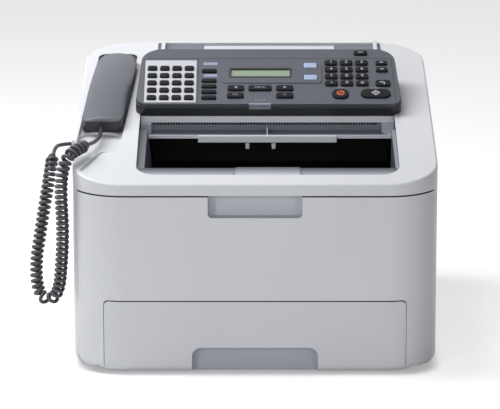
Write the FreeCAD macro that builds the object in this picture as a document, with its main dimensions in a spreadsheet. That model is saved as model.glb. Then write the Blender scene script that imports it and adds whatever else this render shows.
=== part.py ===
import FreeCAD, Part
import math
import os
import Sketcher

Vector = FreeCAD.Vector
doc = FreeCAD.newDocument("fax_machine")
sheet = doc.addObject("Spreadsheet::Sheet", "sizes")

# Driving dimensions in millimetres and degrees
DRIVING = [
    ("body_width", 364, "housing width"),
    ("body_depth", 390, "housing depth"),
    ("front_corner", 52, "plan radius of the front corners"),
    ("rear_corner", 62, "plan radius of the rear corners"),
    ("wall", 3, "moulded wall"),
    ("foot_height", 3, "rubber feet below the housing"),
    ("foot_radius", 9, "rubber foot radius"),
    ("lower_round", 8, "rounding of the bottom edge"),
    ("rim_round", 2.5, "rounding of the top edge"),
    ("crease_height", 194.5, "top edge at the front"),
    ("rear_rise", 70.5, "rise of the top edge from front to rear"),
    ("crown_rise", 5, "rise of the top above its chord"),
    ("seam", 0.4, "gap between covers"),
    ("side_seam_drop", 22.5, "seam under the top cover, below the front edge"),
    ("cover_top_drop", 12.5, "top of the front cover, below the front edge"),
    ("cover_back", 30.5, "depth of the front cover"),
    ("cover_grip_width", 93, "finger recess in the front cover"),
    ("cover_grip_height", 21.3, "height of that recess"),
    ("grip_depth", 12, "depth of the finger recesses"),
    ("cover_pivot_back", 16, "front cover hinge behind the front face"),
    ("cover_pivot_height", 20, "front cover hinge height"),
    ("pin_radius", 2.5, "hinge pin radius"),
    ("running", 0.05, "radial running clearance"),
    ("leg_width", 32, "front cover leg beside the paper tray"),
    ("tray_top", 75.3, "paper tray front height"),
    ("tray_length", 306, "paper tray length behind its front"),
    ("tray_wall_top", 53, "top of the tray walls"),
    ("tray_floor", 8, "underside of the tray"),
    ("tray_grip_width", 125, "finger notch in the tray front"),
    ("tray_grip_top", 28, "top of that notch"),
    ("tray_front_depth", 12.5, "thickness of the tray front"),
    ("lift_length", 170, "paper lift plate length"),
    ("lift_width", 208, "paper lift plate width"),
    ("rear_split", 150, "seam between side and rear covers"),
    ("chassis_inset", 25, "chassis walls inside the housing"),
    ("chassis_wall", 5, "chassis wall thickness"),
    ("bay_left", -118, "left edge of the output bay"),
    ("bay_right", 143.5, "right edge of the output bay"),
    ("bay_front", 22.5, "front rim width"),
    ("bay_ledge", 22.5, "ledge behind the front rim"),
    ("bay_ledge_drop", 1.8, "step down from rim to ledge"),
    ("bay_drop", 16.5, "underside of the output bay walls, below the front edge"),
    ("bay_rear", 66, "rear end of the bay opening"),
    ("bay_corner", 20, "front corner radius of the bay"),
    ("stopper_width", 64, "paper stopper width"),
    ("panel_front", -35, "front edge of the control panel"),
    ("panel_rise", 47.2, "rise of that edge above the front edge of the housing"),
    ("panel_tilt", 23.5, "control panel tilt"),
    ("panel_length", 101.7, "control panel length up the slope"),
    ("panel_left", -123.5, "left end of the front edge"),
    ("panel_right", 151.7, "right end of the front edge"),
    ("panel_taper", 5.5, "narrowing of each side to the rear"),
    ("panel_lip", 14.3, "control panel thickness at the front"),
    ("panel_bottom_tilt", 12.3, "tilt of the panel underside"),
    ("fascia", 4, "control panel fascia thickness"),
    ("key_gap", 0.3, "gap round each key"),
    ("key_rise", 2, "height of keys above the fascia"),
    ("key_seat", 2.2, "depth of keys below the fascia"),
    ("key_radius", 1.6, "corner radius of keys"),
    ("number_pitch_u", 16, "number key column pitch"),
    ("number_pitch_v", 12.5, "number key row pitch"),
    ("number_width", 12.4, "number key width"),
    ("number_depth", 8.4, "number key depth"),
    ("number_left", 79.5, "first number key column"),
    ("number_low", 36.9, "lowest number key row"),
    ("touch_pitch_u", 12.8, "one-touch key column pitch"),
    ("touch_pitch_v", 13.25, "one-touch key row pitch"),
    ("touch_width", 9.4, "one-touch key width"),
    ("touch_depth", 7.4, "one-touch key depth"),
    ("touch_left", -106.6, "first one-touch column"),
    ("touch_low", 11.2, "lowest one-touch row"),
    ("plate_thick", 1.2, "one-touch plate thickness"),
    ("scan_front", -45, "front lip of the document exit"),
    ("scan_rise", 10.5, "underside of the document exit above the front edge of the housing"),
    ("doc_left", -99, "left edge of the document tray"),
    ("doc_right", 131, "right edge of the document tray"),
    ("doc_front", 78, "front end of the document tray"),
    ("doc_rear", 189, "rear end of the document tray"),
    ("doc_tilt", 6.6, "document tray tilt"),
    ("doc_thick", 4, "document tray thickness"),
    ("support_width", 142, "document support flap width"),
    ("support_length", 66, "document support flap length"),
    ("guide_height", 5.5, "document guide height"),
    ("guide_length", 52, "document guide length"),
    ("handset_x", -150.8, "handset middle across"),
    ("handset_y", 27, "handset middle along the machine"),
    ("handset_length", 193, "handset length"),
    ("handset_width", 42, "handset width"),
    ("handset_thick", 23, "handset thickness"),
    ("handset_split", 14, "height of the handset seam"),
    ("handset_yaw", 3.2, "turn of the handset in plan"),
    ("cradle_depth", 6, "depth of the handset cradle"),
    ("cradle_width", 45, "width of the cradle opening"),
    ("wire", 4, "curly cord wire diameter"),
    ("coil", 9.5, "curly cord mean coil diameter"),
    ("coil_pitch", 5.6, "curly cord pitch"),
    ("jack_y", -60, "handset jack along the side"),
    ("jack_rise", 11.5, "handset jack above the front edge"),
    ("jack_size", 12, "handset jack face"),
    ("door_left", -70, "left edge of the rear door"),
    ("door_right", 112, "right edge of the rear door"),
    ("door_low", 74, "bottom of the rear door"),
    ("door_drop", 6, "top of the rear door, below the side seam"),
    ("inlet_x", 84, "mains inlet place"),
    ("switch_x", 46, "power switch place"),
    ("jacks_x", -88, "line jacks place"),
    ("socket_z", 36, "height of the rear sockets"),
]


class Size:
    """A dimension that keeps its number and the sheet formula that gives it."""

    def __init__(self, value, text):
        self.value = float(value)
        self.text = text

    def __add__(self, other):
        other = sized(other)
        return Size(self.value + other.value, "(%s + %s)" % (self.text, other.text))

    def __sub__(self, other):
        other = sized(other)
        return Size(self.value - other.value, "(%s - %s)" % (self.text, other.text))

    def __mul__(self, other):
        other = sized(other)
        return Size(self.value * other.value, "(%s * %s)" % (self.text, other.text))

    def __truediv__(self, other):
        other = sized(other)
        return Size(self.value / other.value, "(%s / %s)" % (self.text, other.text))

    def __neg__(self):
        return Size(-self.value, "(0 - %s)" % self.text)

    def __radd__(self, other):
        return sized(other) + self

    def __rsub__(self, other):
        return sized(other) - self

    def __rmul__(self, other):
        return sized(other) * self


def sized(number):
    if isinstance(number, Size):
        return number
    return Size(number, "(%s)" % repr(float(number)))


def cosine(angle):
    return Size(math.cos(math.radians(angle.value)), "cos(%s)" % angle.text)


def sine(angle):
    return Size(math.sin(math.radians(angle.value)), "sin(%s)" % angle.text)


def root(size):
    return Size(math.sqrt(size.value), "sqrt(%s)" % size.text)


class Named:
    """The driving dimensions, by name."""


S = Named()
for row, (alias, value, note) in enumerate(DRIVING, 1):
    sheet.set("A%d" % row, note)
    sheet.set("B%d" % row, str(value))
    sheet.setAlias("B%d" % row, alias)
    setattr(S, alias, Size(value, "sizes." + alias))
doc.recompute()

nodes = []
count = [0]


def fresh(kind, hint):
    count[0] += 1
    return doc.addObject(kind, "%s_%d" % (hint, count[0]))


def node(label, shape_object):
    """Name a finished sub-part."""
    shape_object.Label = label
    nodes.append(shape_object)
    return shape_object


def bind(target, **sizes):
    for name, size in sizes.items():
        target.setExpression(name, sized(size).text)
    return target


def place(target, x, y, z, angle=None, axis=Vector(1, 0, 0)):
    """Put an object at a point, turned about one axis."""
    turn = FreeCAD.Rotation(axis, angle.value if angle else 0.0)
    point = [sized(number) for number in (x, y, z)]
    target.Placement = FreeCAD.Placement(Vector(*[p.value for p in point]), turn)
    for letter, size in zip("xyz", point):
        target.setExpression("Placement.Base." + letter, size.text)
    if angle:
        target.setExpression("Placement.Rotation.Angle", angle.text)
    return target


def box(x, y, z):
    """A block between pairs of limits along X, Y and Z."""
    block = fresh("Part::Box", "block")
    bind(block, Length=sized(x[1]) - x[0], Width=sized(y[1]) - y[0], Height=sized(z[1]) - z[0])
    return place(block, x[0], y[0], z[0])


def rod(radius, x, y, z):
    """A round bar along X between two X limits."""
    bar = fresh("Part::Cylinder", "rod")
    bind(bar, Radius=radius, Height=sized(x[1]) - x[0])
    place(bar, x[0], y, z)
    bar.Placement.Rotation = FreeCAD.Rotation(Vector(0, 1, 0), 90)
    return bar


def post(radius, x, y, z):
    """A round bar along Z between two Z limits."""
    bar = fresh("Part::Cylinder", "post")
    bind(bar, Radius=radius, Height=sized(z[1]) - z[0])
    return place(bar, x, y, z[0])


def fuse(*shapes):
    joined = fresh("Part::MultiFuse", "joined")
    joined.Shapes = list(shapes)
    return joined


def cut(base, *tools):
    made = fresh("Part::Cut", "cut")
    made.Base = base
    made.Tool = tools[0] if len(tools) == 1 else fuse(*tools)
    return made


def common(first, second):
    made = fresh("Part::Common", "common")
    made.Base = first
    made.Tool = second
    return made


def group(*shapes):
    made = fresh("Part::Compound", "group")
    made.Links = list(shapes)
    return made


def rounded(base, radius, test):
    """Round the edges of an object whose middle and direction pass a test."""
    doc.recompute()
    made = fresh("Part::Fillet", "rounded")
    made.Base = base
    chosen = []
    for index, edge in enumerate(base.Shape.Edges, 1):
        first, last = edge.ParameterRange
        middle = edge.valueAt((first + last) / 2)
        if test(middle, edge.tangentAt((first + last) / 2)):
            chosen.append((index, sized(radius).value, sized(radius).value))
    made.Edges = chosen
    return made


def frame_box(frame, u, v, w):
    """A block between limits across, up the slope and above a tilted plane."""
    block = fresh("Part::Box", "sloped")
    bind(block, Length=sized(u[1]) - u[0], Width=sized(v[1]) - v[0], Height=sized(w[1]) - w[0])
    return place(block, *frame.at(u[0], v[0], w[0]), angle=frame.tilt)


class Slope:
    """A plane tilted about X, through a line at height z and depth y."""

    def __init__(self, y, z, tilt):
        self.y = sized(y)
        self.z = sized(z)
        self.tilt = tilt

    def at(self, u, v, w):
        v = sized(v)
        w = sized(w)
        y = self.y + v * cosine(self.tilt) - w * sine(self.tilt)
        z = self.z + v * sine(self.tilt) + w * cosine(self.tilt)
        return sized(u), y, z

    def normal(self):
        return Vector(0, -sine(self.tilt).value, cosine(self.tilt).value)


def along(direction):
    """A test for straight edges that run along one direction."""
    return lambda middle, tangent: abs(abs(tangent.dot(direction)) - 1) < 1e-4


def outline(body, plane, corners):
    """A closed sketch through corners given as (x, y) or (x, y, radius), counter-clockwise."""
    sketch = body.newObject("Sketcher::SketchObject", "Sketch")
    support = [item for item in body.Origin.OriginFeatures if item.Role == plane][0]
    sketch.AttachmentSupport = (support, "")
    sketch.MapMode = "FlatFace"
    points = [(sized(c[0]), sized(c[1])) for c in corners]
    radii = [sized(c[2]) if len(c) > 2 else None for c in corners]
    flat = [Vector(p[0].value, p[1].value, 0) for p in points]
    total = len(flat)
    starts, ends, arcs = [], [], []
    for i in range(total):
        before = (flat[i - 1] - flat[i]).normalize()
        after = (flat[(i + 1) % total] - flat[i]).normalize()
        if radii[i] is None:
            starts.append(flat[i])
            ends.append(flat[i])
            arcs.append(None)
            continue
        half = before.getAngle(after) / 2
        reach = radii[i].value / math.tan(half)
        centre = flat[i] + (before + after).normalize() * (radii[i].value / math.sin(half))
        ends.append(flat[i] + before * reach)
        starts.append(flat[i] + after * reach)
        arcs.append(centre)
    lines = [
        sketch.addGeometry(Part.LineSegment(starts[i], ends[(i + 1) % total]), False) for i in range(total)
    ]

    def fixed(kind, geometry, position, size):
        index = sketch.addConstraint(Sketcher.Constraint(kind, -1, 1, geometry, position, size.value))
        sketch.setExpression("Constraints[%d]" % index, size.text)

    for i in range(total):
        into, out = lines[i - 1], lines[i]
        if arcs[i] is None:
            sketch.addConstraint(Sketcher.Constraint("Coincident", into, 2, out, 1))
            fixed("DistanceX", out, 1, points[i][0])
            fixed("DistanceY", out, 1, points[i][1])
            continue
        low = math.atan2(ends[i].y - arcs[i].y, ends[i].x - arcs[i].x)
        high = math.atan2(starts[i].y - arcs[i].y, starts[i].x - arcs[i].x)
        turn = (ends[i] - flat[i]).cross(starts[i] - flat[i]).z
        first, last = (1, 2) if turn < 0 else (2, 1)
        if turn >= 0:
            low, high = high, low
        if high < low:
            high += 2 * math.pi
        circle = Part.Circle(arcs[i], Vector(0, 0, 1), radii[i].value)
        arc = sketch.addGeometry(Part.ArcOfCircle(circle, low, high), False)
        corner = sketch.addGeometry(Part.Point(flat[i]), True)
        sketch.addConstraint(Sketcher.Constraint("Tangent", into, 2, arc, first))
        sketch.addConstraint(Sketcher.Constraint("Tangent", out, 1, arc, last))
        sketch.addConstraint(Sketcher.Constraint("PointOnObject", corner, 1, into))
        sketch.addConstraint(Sketcher.Constraint("PointOnObject", corner, 1, out))
        index = sketch.addConstraint(Sketcher.Constraint("Radius", arc, radii[i].value))
        sketch.setExpression("Constraints[%d]" % index, radii[i].text)
        fixed("DistanceX", corner, 1, points[i][0])
        fixed("DistanceY", corner, 1, points[i][1])
    return sketch


def prism(corners, length, plane="XY_Plane", middle=False):
    """A body padded from one outline."""
    body = fresh("PartDesign::Body", "prism")
    sketch = outline(body, plane, corners)
    pad = body.newObject("PartDesign::Pad", "Pad")
    pad.Profile = sketch
    pad.setExpression("Length", sized(length).text)
    pad.Midplane = middle
    return body


def section(corners, x):
    """A profile drawn in Y and Z, extruded between two X limits."""
    body = prism(corners, sized(x[1]) - x[0], plane="YZ_Plane")
    return place(body, x[0], 0, 0)


# Shared lines of the housing
half_width = S.body_width / 2
half_depth = S.body_depth / 2
front = -half_depth
S.side_seam = S.crease_height - S.side_seam_drop
S.cover_top = S.crease_height - S.cover_top_drop
S.bay_floor = S.crease_height - S.bay_drop
S.jack_z = S.crease_height + S.jack_rise
S.rear_height = S.crease_height + S.rear_rise
S.panel_height = S.crease_height + S.panel_rise
S.scan_bottom = S.crease_height + S.scan_rise
S.door_high = S.side_seam - S.door_drop
S.chassis_half = half_width - S.chassis_inset
top_chord = root(S.body_depth * S.body_depth + S.rear_rise * S.rear_rise)
top_radius = top_chord * top_chord / (8 * S.crown_rise) + S.crown_rise / 2
rim_tilt = Size(
    math.degrees(math.atan2(S.rear_rise.value, S.body_depth.value)),
    "(atan(%s / %s) / 1deg)" % (S.rear_rise.text, S.body_depth.text),
)
rim = Slope(front, S.crease_height, rim_tilt)
panel = Slope(S.panel_front, S.panel_height, S.panel_tilt)
FAR = 400


def housing(inset):
    """The outer form of the housing, or the same form drawn in by a wall."""
    wide = half_width - inset
    deep = half_depth - inset
    plan = prism(
        [
            (-wide, -deep, S.front_corner - inset),
            (wide, -deep, S.front_corner - inset),
            (wide, deep, S.rear_corner - inset),
            (-wide, deep, S.rear_corner - inset),
        ],
        S.rear_height,
    )
    place(plan, 0, 0, S.foot_height + inset)
    reach = top_radius - S.crown_rise
    crown = rod(
        top_radius - inset,
        (-FAR, FAR),
        reach * S.rear_rise / top_chord,
        (S.crease_height + S.rear_height) / 2 - reach * S.body_depth / top_chord,
    )
    return common(plan, crown)


outer = housing(sized(0))
low_edge = S.foot_height.value + 0.01
outer = rounded(outer, S.lower_round, lambda middle, tangent: middle.z < low_edge)
outer = rounded(outer, S.rim_round, lambda middle, tangent: middle.z > S.crease_height.value - 0.01
                and abs(tangent.z) < 0.5)
core = housing(S.wall)


# Front cover: a hollow door with legs beside the paper tray
cover_back = front + S.cover_back
tray_half = half_width - S.leg_width
tray_room = tray_half + S.seam
grip_half = S.cover_grip_width / 2
cover_zone = box((-FAR, FAR), (-FAR, cover_back), (0, S.cover_top - S.seam))
cover_inside = common(core, box((-FAR, FAR), (-FAR, FAR), (0, S.cover_top - S.seam - S.wall)))
grip_low = S.cover_top - S.cover_grip_height
grip_back = front + S.grip_depth
grip = rounded(
    box((-grip_half, grip_half), (front - 5, grip_back), (grip_low, S.cover_top + 5)),
    4,
    lambda middle, tangent: abs(tangent.y) > 0.9 and middle.z < S.cover_top.value,
)
grip_shell = box(
    (-grip_half - S.wall, grip_half + S.wall), (front, grip_back + S.wall), (grip_low - S.wall, S.cover_top)
)
tray_hole = rounded(
    box((-tray_room, tray_room), (-FAR, FAR), (-5, S.tray_top + 1)),
    5,
    lambda middle, tangent: abs(tangent.y) > 0.9 and middle.z > 0,
)
lintel_rise = 4.2
lintel_relief = common(core, box((-tray_room, tray_room), (-FAR, FAR), (-5, S.tray_top + lintel_rise)))
tray_frame = box(
    (-tray_room - S.wall, tray_room + S.wall), (-FAR, FAR), (0, S.tray_top + lintel_rise + S.wall)
)
cover_pivot_y = front + S.cover_pivot_back
ear_gap = 1
ear_width = 4
ear_radius = 3.8
ear_low = tray_room + S.wall + ear_gap
ear_high = ear_low + ear_width
cover_pins = [
    rod(S.pin_radius, (ear_low - ear_gap - 1, ear_high + 3), cover_pivot_y, S.cover_pivot_height),
    rod(S.pin_radius, (-ear_high - 3, -ear_low + ear_gap + 1), cover_pivot_y, S.cover_pivot_height),
]
heel_front = 9
heel_radius = S.cover_pivot_height - S.foot_height - S.wall - 0.1
heel = cut(
    box((-FAR, FAR), (cover_pivot_y - heel_front, FAR), (0, S.cover_pivot_height)),
    rod(heel_radius, (-FAR - 1, FAR + 1), cover_pivot_y, S.cover_pivot_height),
)
cover_hollow = cut(cover_inside, grip_shell, tray_frame)
front_cover = node(
    "front_cover",
    fuse(cut(common(outer, cover_zone), cover_hollow, grip, tray_hole, lintel_relief, heel), *cover_pins),
)

# Paper tray: front panel with a finger notch, open box and sprung lift plate
tray_grip_half = S.tray_grip_width / 2
tray_back = front + S.tray_front_depth
tray_zone = rounded(
    box((-tray_half, tray_half), (-FAR, tray_back), (0, S.tray_top)),
    5,
    lambda middle, tangent: abs(tangent.y) > 0.9 and middle.z > 0,
)
tray_notch = rounded(
    box((-tray_grip_half, tray_grip_half), (front - 5, tray_back - S.wall), (-5, S.tray_grip_top)),
    9,
    lambda middle, tangent: abs(tangent.y) > 0.9 and middle.z > 0,
)
tray_front = node("tray_front", cut(common(outer, tray_zone), tray_notch))

tray_side = tray_half - 1.5
tray_rear = tray_back + S.tray_length
tray_box = box((-tray_side, tray_side), (tray_back, tray_rear), (S.tray_floor, S.tray_wall_top))
tray_inside = box(
    (-tray_side + S.wall, tray_side - S.wall),
    (tray_back + S.wall, tray_rear - S.wall),
    (S.tray_floor + S.wall, S.tray_wall_top + 5),
)
lift_half = S.lift_width / 2
guide_rails = [
    box((x, x + 2.5), (tray_back + 40, tray_rear - 60), (S.tray_floor + S.wall - 0.5, S.tray_wall_top - 8))
    for x in (lift_half + 2, -lift_half - 4.5)
]
lift_hinge_y = tray_back + 10 + S.lift_length
lift_hinge_z = S.tray_floor + S.wall + 3.2
lift_ears = [
    cut(
        box((x, x + 4), (lift_hinge_y - 4, lift_hinge_y + 4), (S.tray_floor + S.wall - 0.5, lift_hinge_z + 4)),
        rod(S.pin_radius + S.running, (x - 1, x + 5), lift_hinge_y, lift_hinge_z),
    )
    for x in (lift_half - 4.5, -lift_half + 0.5)
]
paper_tray = node("paper_tray", fuse(cut(tray_box, tray_inside), *(guide_rails + lift_ears)))
lift_sheet = box(
    (-lift_half, lift_half), (tray_back + 10, lift_hinge_y), (lift_hinge_z - 1, lift_hinge_z + 1)
)
lift_notches = [
    box((x, x + 5), (lift_hinge_y - 5, lift_hinge_y + 5), (0, FAR)) for x in (lift_half - 5, -lift_half)
]
lift_pin = rod(S.pin_radius, (-lift_half + 0.2, lift_half - 0.2), lift_hinge_y, lift_hinge_z)
lift_plate = node("lift_plate", fuse(cut(lift_sheet, *lift_notches), lift_pin))

# Base frame: floor, two chassis walls, cross beams and the front cover's hinge ears
chassis_in = S.chassis_half - S.chassis_wall
floor_top = S.tray_floor - 0.3
side_in = half_width - S.wall - 6
frame_floor = common(
    core, box((-side_in, side_in), (cover_back + 8, half_depth - S.wall - 1), (0, floor_top))
)
frame_pan = box(
    (-S.chassis_half - 0.5, S.chassis_half + 0.5), (cover_back + 8, S.rear_split - 1),
    (S.foot_height, floor_top),
)
roller_y = front + 62
roller_z = S.tray_wall_top + 17
roller_radius = 13
shaft = 3
chassis_walls = [
    box((x, x + S.chassis_wall), (cover_back + 10, half_depth - 24), (floor_top - 1, S.side_seam - 12))
    for x in (chassis_in, -S.chassis_half)
]
shelf_z = S.bay_floor - 56
beams = [
    box((-chassis_in - 1, chassis_in + 1), (-62, 66), (shelf_z, shelf_z + 4)),
    box((-chassis_in - 1, chassis_in + 1), (cover_back + 12, cover_back + 18), (78, 84)),
    box((-chassis_in - 1, chassis_in + 1), (tray_rear + 6, tray_rear + 10), (floor_top - 1, 92)),
]
ears = []
for low, high in ((ear_low, ear_high), (-ear_high, -ear_low)):
    arm = fuse(
        rod(ear_radius, (low, high), cover_pivot_y, S.cover_pivot_height),
        box(
            (low, high), (cover_pivot_y, cover_back + 14),
            (S.cover_pivot_height - ear_radius, S.cover_pivot_height + ear_radius),
        ),
    )
    stem = box((low, high), (cover_back + 8.5, cover_back + 14), (floor_top - 2, S.cover_pivot_height))
    bore = rod(S.pin_radius + S.running, (low - 1, high + 1), cover_pivot_y, S.cover_pivot_height)
    ears.append(cut(fuse(arm, stem), bore))
standoffs = [
    rod(3, (x, x + 4), y, z)
    for x in (S.chassis_half - 1, -S.chassis_half - 3)
    for y in (-90, 90)
    for z in (50, 120)
]
roller_bores = rod(shaft + S.running, (-FAR, FAR), roller_y, roller_z)
base_frame = node(
    "base_frame",
    cut(fuse(frame_floor, frame_pan, *(chassis_walls + beams + ears + standoffs)), roller_bores),
)
feet = [
    post(S.foot_radius, x, y, (0, S.foot_height))
    for x in (half_width - 45, -half_width + 45)
    for y in (cover_back + 40, S.rear_split - 25)
]
rubber_feet = node("rubber_feet", group(*feet))

pickup_roller = node(
    "pickup_roller",
    fuse(
        rod(shaft, (-S.chassis_half, S.chassis_half), roller_y, roller_z),
        rod(roller_radius, (-24, 24), roller_y, roller_z),
        rod(roller_radius - 3, (-70, -60), roller_y, roller_z),
        rod(roller_radius - 3, (60, 70), roller_y, roller_z),
    ),
)

# Side covers and rear cover
low_zone = (0, S.side_seam - S.seam)
split = S.rear_split


def side_cover(sign):
    reach = (half_width - 24, FAR) if sign > 0 else (-FAR, -half_width + 24)
    zone = box(reach, (cover_back + S.seam, split - S.seam), low_zone)
    louvres = [
        box((sign * half_width - 12, sign * half_width + 12), (78 + 9 * k, 82 + 9 * k), (92, 140))
        for k in range(6)
    ]
    return cut(common(outer, zone), core, *louvres)


left_side_cover = node("left_side_cover", side_cover(-1))
right_side_cover = node("right_side_cover", side_cover(1))

rear_face = half_depth
rear_zone = box((-FAR, FAR), (split, FAR), low_zone)
door_gap = S.seam
door_hole = box(
    (S.door_left - door_gap, S.door_right + door_gap), (rear_face - 25, FAR),
    (S.door_low - door_gap, S.door_high + door_gap),
)
inlet_hole = box((S.inlet_x - 14, S.inlet_x + 14), (rear_face - 25, FAR), (S.socket_z - 12, S.socket_z + 12))
switch_hole = box((S.switch_x - 8, S.switch_x + 8), (rear_face - 25, FAR), (S.socket_z - 12, S.socket_z + 12))
jacks_hole = box((S.jacks_x - 17, S.jacks_x + 17), (rear_face - 25, FAR), (S.socket_z - 9, S.socket_z + 9))
rear_louvres = [
    box((S.door_left - 44, S.door_left - 12), (rear_face - 12, FAR), (z, z + 3.5)) for z in range(92, 156, 8)
]
door_thick = 10
door_pin_radius = 1.6
door_pivot_y = rear_face - door_thick / 2
door_pivot_z = S.door_low + door_thick / 2
door_ears = [
    cut(
        box((x, x + 4), (rear_face - door_thick + 0.5, rear_face - 2.9), (S.door_low - 3, S.door_low + 10)),
        rod(door_pin_radius + S.running, (x - 1, x + 5), door_pivot_y, door_pivot_z),
    )
    for x in (S.door_left - 5, S.door_right + 1)
]
rocker_radius = 1.5
rocker_y = rear_face - 7
switch_block = box(
    (S.switch_x - 11, S.switch_x + 11), (rear_face - 15, rear_face - 2), (S.socket_z - 14, S.socket_z + 14)
)
rocker_bore = rod(rocker_radius + S.running, (S.switch_x - 9.5, S.switch_x + 9.5), rocker_y, S.socket_z)
rear_shell = cut(
    fuse(cut(common(outer, rear_zone), core), switch_block),
    door_hole, inlet_hole, switch_hole, jacks_hole, rocker_bore, *rear_louvres
)
rear_cover = node("rear_cover", fuse(rear_shell, *door_ears))

door_skin = rounded(
    box((S.door_left, S.door_right), (rear_face - door_thick, rear_face), (S.door_low, S.door_high)),
    door_thick / 2 - 0.1,
    lambda middle, tangent: abs(tangent.x) > 0.9 and middle.z < S.door_low.value + 1,
)
door_relief = box(
    (S.door_left + S.wall, S.door_right - S.wall), (rear_face - 20, rear_face - S.wall),
    (S.door_low + 14, S.door_high - S.wall),
)
door_grip = box((-20, 20), (rear_face - 2, rear_face + 5), (S.door_high - 12, S.door_high + 5))
door_pin = rod(door_pin_radius, (S.door_left - 5, S.door_right + 5), door_pivot_y, door_pivot_z)
rear_door = node("rear_door", fuse(cut(door_skin, door_relief, door_grip), door_pin))

socket_depth = (rear_face - 22, rear_face - 0.5)
inlet_body = box((S.inlet_x - 13.8, S.inlet_x + 13.8), socket_depth, (S.socket_z - 11.8, S.socket_z + 11.8))
inlet_well = rounded(
    box((S.inlet_x - 11.5, S.inlet_x + 11.5), (rear_face - 16, FAR), (S.socket_z - 8, S.socket_z + 8)),
    3,
    lambda middle, tangent: abs(tangent.y) > 0.9,
)
inlet_pins = [
    box(
        (S.inlet_x + x - 1, S.inlet_x + x + 1), (rear_face - 17, rear_face - 4),
        (S.socket_z + z - 2, S.socket_z + z + 2),
    )
    for x, z in ((-6, -2), (6, -2), (0, 3))
]
ac_inlet = node("ac_inlet", fuse(cut(inlet_body, inlet_well), *inlet_pins))

jacks_body = box((S.jacks_x - 16.8, S.jacks_x + 16.8), socket_depth, (S.socket_z - 8.8, S.socket_z + 8.8))
jack_wells = [
    box(
        (S.jacks_x + x - 5.5, S.jacks_x + x + 5.5), (rear_face - 16, FAR),
        (S.socket_z - 4.5, S.socket_z + 3.5),
    )
    for x in (-8, 8)
]
jack_latches = [
    box((S.jacks_x + x - 2, S.jacks_x + x + 2), (rear_face - 16, FAR), (S.socket_z + 3, S.socket_z + 6))
    for x in (-8, 8)
]
line_jacks = node("line_jacks", cut(jacks_body, *(jack_wells + jack_latches)))

rocker_profile = [
    (rear_face - 10, S.socket_z - 9.5),
    (rear_face - 3.2, S.socket_z - 9.5),
    (rear_face - 3.6, S.socket_z),
    (rear_face - 0.4, S.socket_z + 9.5),
    (rear_face - 10, S.socket_z + 9.5),
]
rocker = section(rocker_profile, (S.switch_x - 6.5, S.switch_x + 6.5))
rocker_pin = rod(rocker_radius, (S.switch_x - 9, S.switch_x + 9), rocker_y, S.socket_z)
power_switch = node("power_switch", fuse(rocker, rocker_pin))

# Inner units
toner_low = 92
toner_profile = [
    (front + 46, toner_low),
    (front + 118, toner_low, 8),
    (front + 124, S.bay_floor - 62),
    (front + 96, S.bay_floor - 32, 10),
    (front + 56, S.bay_floor - 28, 14),
    (front + 40, S.bay_floor - 50, 8),
]
toner_body = section(toner_profile, (-chassis_in + 0.4, chassis_in - 0.4))
toner_handle = cut(
    box((-50, 50), (front + 34, front + 56), (S.bay_floor - 66, S.bay_floor - 52)),
    box((-42, 42), (front + 39, front + 49), (S.bay_floor - 78, S.bay_floor - 38)),
)
toner_cartridge = node("toner_cartridge", fuse(toner_body, toner_handle))
laser_unit = node(
    "laser_unit",
    fuse(
        box((-112, 112), (-52, 58), (shelf_z + 4, shelf_z + 30)),
        box((-60, 60), (-58, -52), (shelf_z + 8, shelf_z + 20)),
        post(20, 40, 20, (shelf_z + 30, shelf_z + 34)),
    ),
)
fuser_y = half_depth - 77
fuser_unit = node(
    "fuser_unit",
    cut(
        fuse(
            box((-chassis_in + 0.4, chassis_in - 0.4), (fuser_y - 26, fuser_y + 26), (100, 150)),
            rod(14, (-120, 120), fuser_y, 150),
        ),
        box((-125, 125), (fuser_y - 30, fuser_y + 30), (118, 124)),
    ),
)
board_gap = 3
main_boards = [
    box((S.chassis_half + board_gap, S.chassis_half + board_gap + 1.6), (-110, 110), (30, 140)),
    box((S.chassis_half + board_gap + 1.6, S.chassis_half + board_gap + 6), (-30, 10), (70, 110)),
]
supply_boards = [
    box((-S.chassis_half - board_gap - 1.6, -S.chassis_half - board_gap), (-110, 110), (30, 140)),
    box((-S.chassis_half - board_gap - 12, -S.chassis_half - board_gap - 1.6), (20, 60), (50, 90)),
]
circuit_boards = node("circuit_boards", group(fuse(*main_boards), fuse(*supply_boards)))

# Top cover: crowned rim, output bay, handset cradle and document tray seat
bay_block = box(
    (S.bay_left - 4, S.bay_right + 4), (front + S.bay_front - 4, S.bay_rear + 4), (S.bay_floor, FAR)
)
ledge_end = S.bay_front + S.bay_ledge
ledge = rounded(
    frame_box(rim, (S.bay_left, S.bay_right), (S.bay_front, S.bay_front + 125), (-S.bay_ledge_drop, 40)),
    S.bay_corner,
    lambda middle, tangent: abs(tangent.dot(rim.normal())) > 0.9 and middle.y < front.value + 60,
)
slant = 12
slant_depth = 32
bay_slant = fresh("Part::Wedge", "slant")
bind(
    bay_slant,
    Xmin=S.bay_left + slant, Xmax=S.bay_right - 4, Zmin=-(S.bay_front + 150), Zmax=-ledge_end - 4,
    X2min=S.bay_left + 7, X2max=S.bay_right - 3.5, Z2min=-(S.bay_front + 150), Z2max=-ledge_end,
    Ymin=-slant_depth, Ymax=S.crown_rise + 1,
)
place(bay_slant, *rim.at(0, 0, 0), angle=rim_tilt + 90)
bay_pit = box(
    (S.bay_left + slant, S.bay_right - 4), (front + ledge_end + 2, S.scan_front),
    (S.bay_floor - 1, S.crease_height + 8),
)
bay_back = box((S.bay_left, S.bay_right), (S.scan_front - 6, S.bay_rear), (S.bay_floor - 1, FAR))

handset_turn = FreeCAD.Rotation(Vector(0, 0, 1), -S.handset_yaw.value).multiply(
    FreeCAD.Rotation(Vector(1, 0, 0), rim_tilt.value)
)


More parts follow.
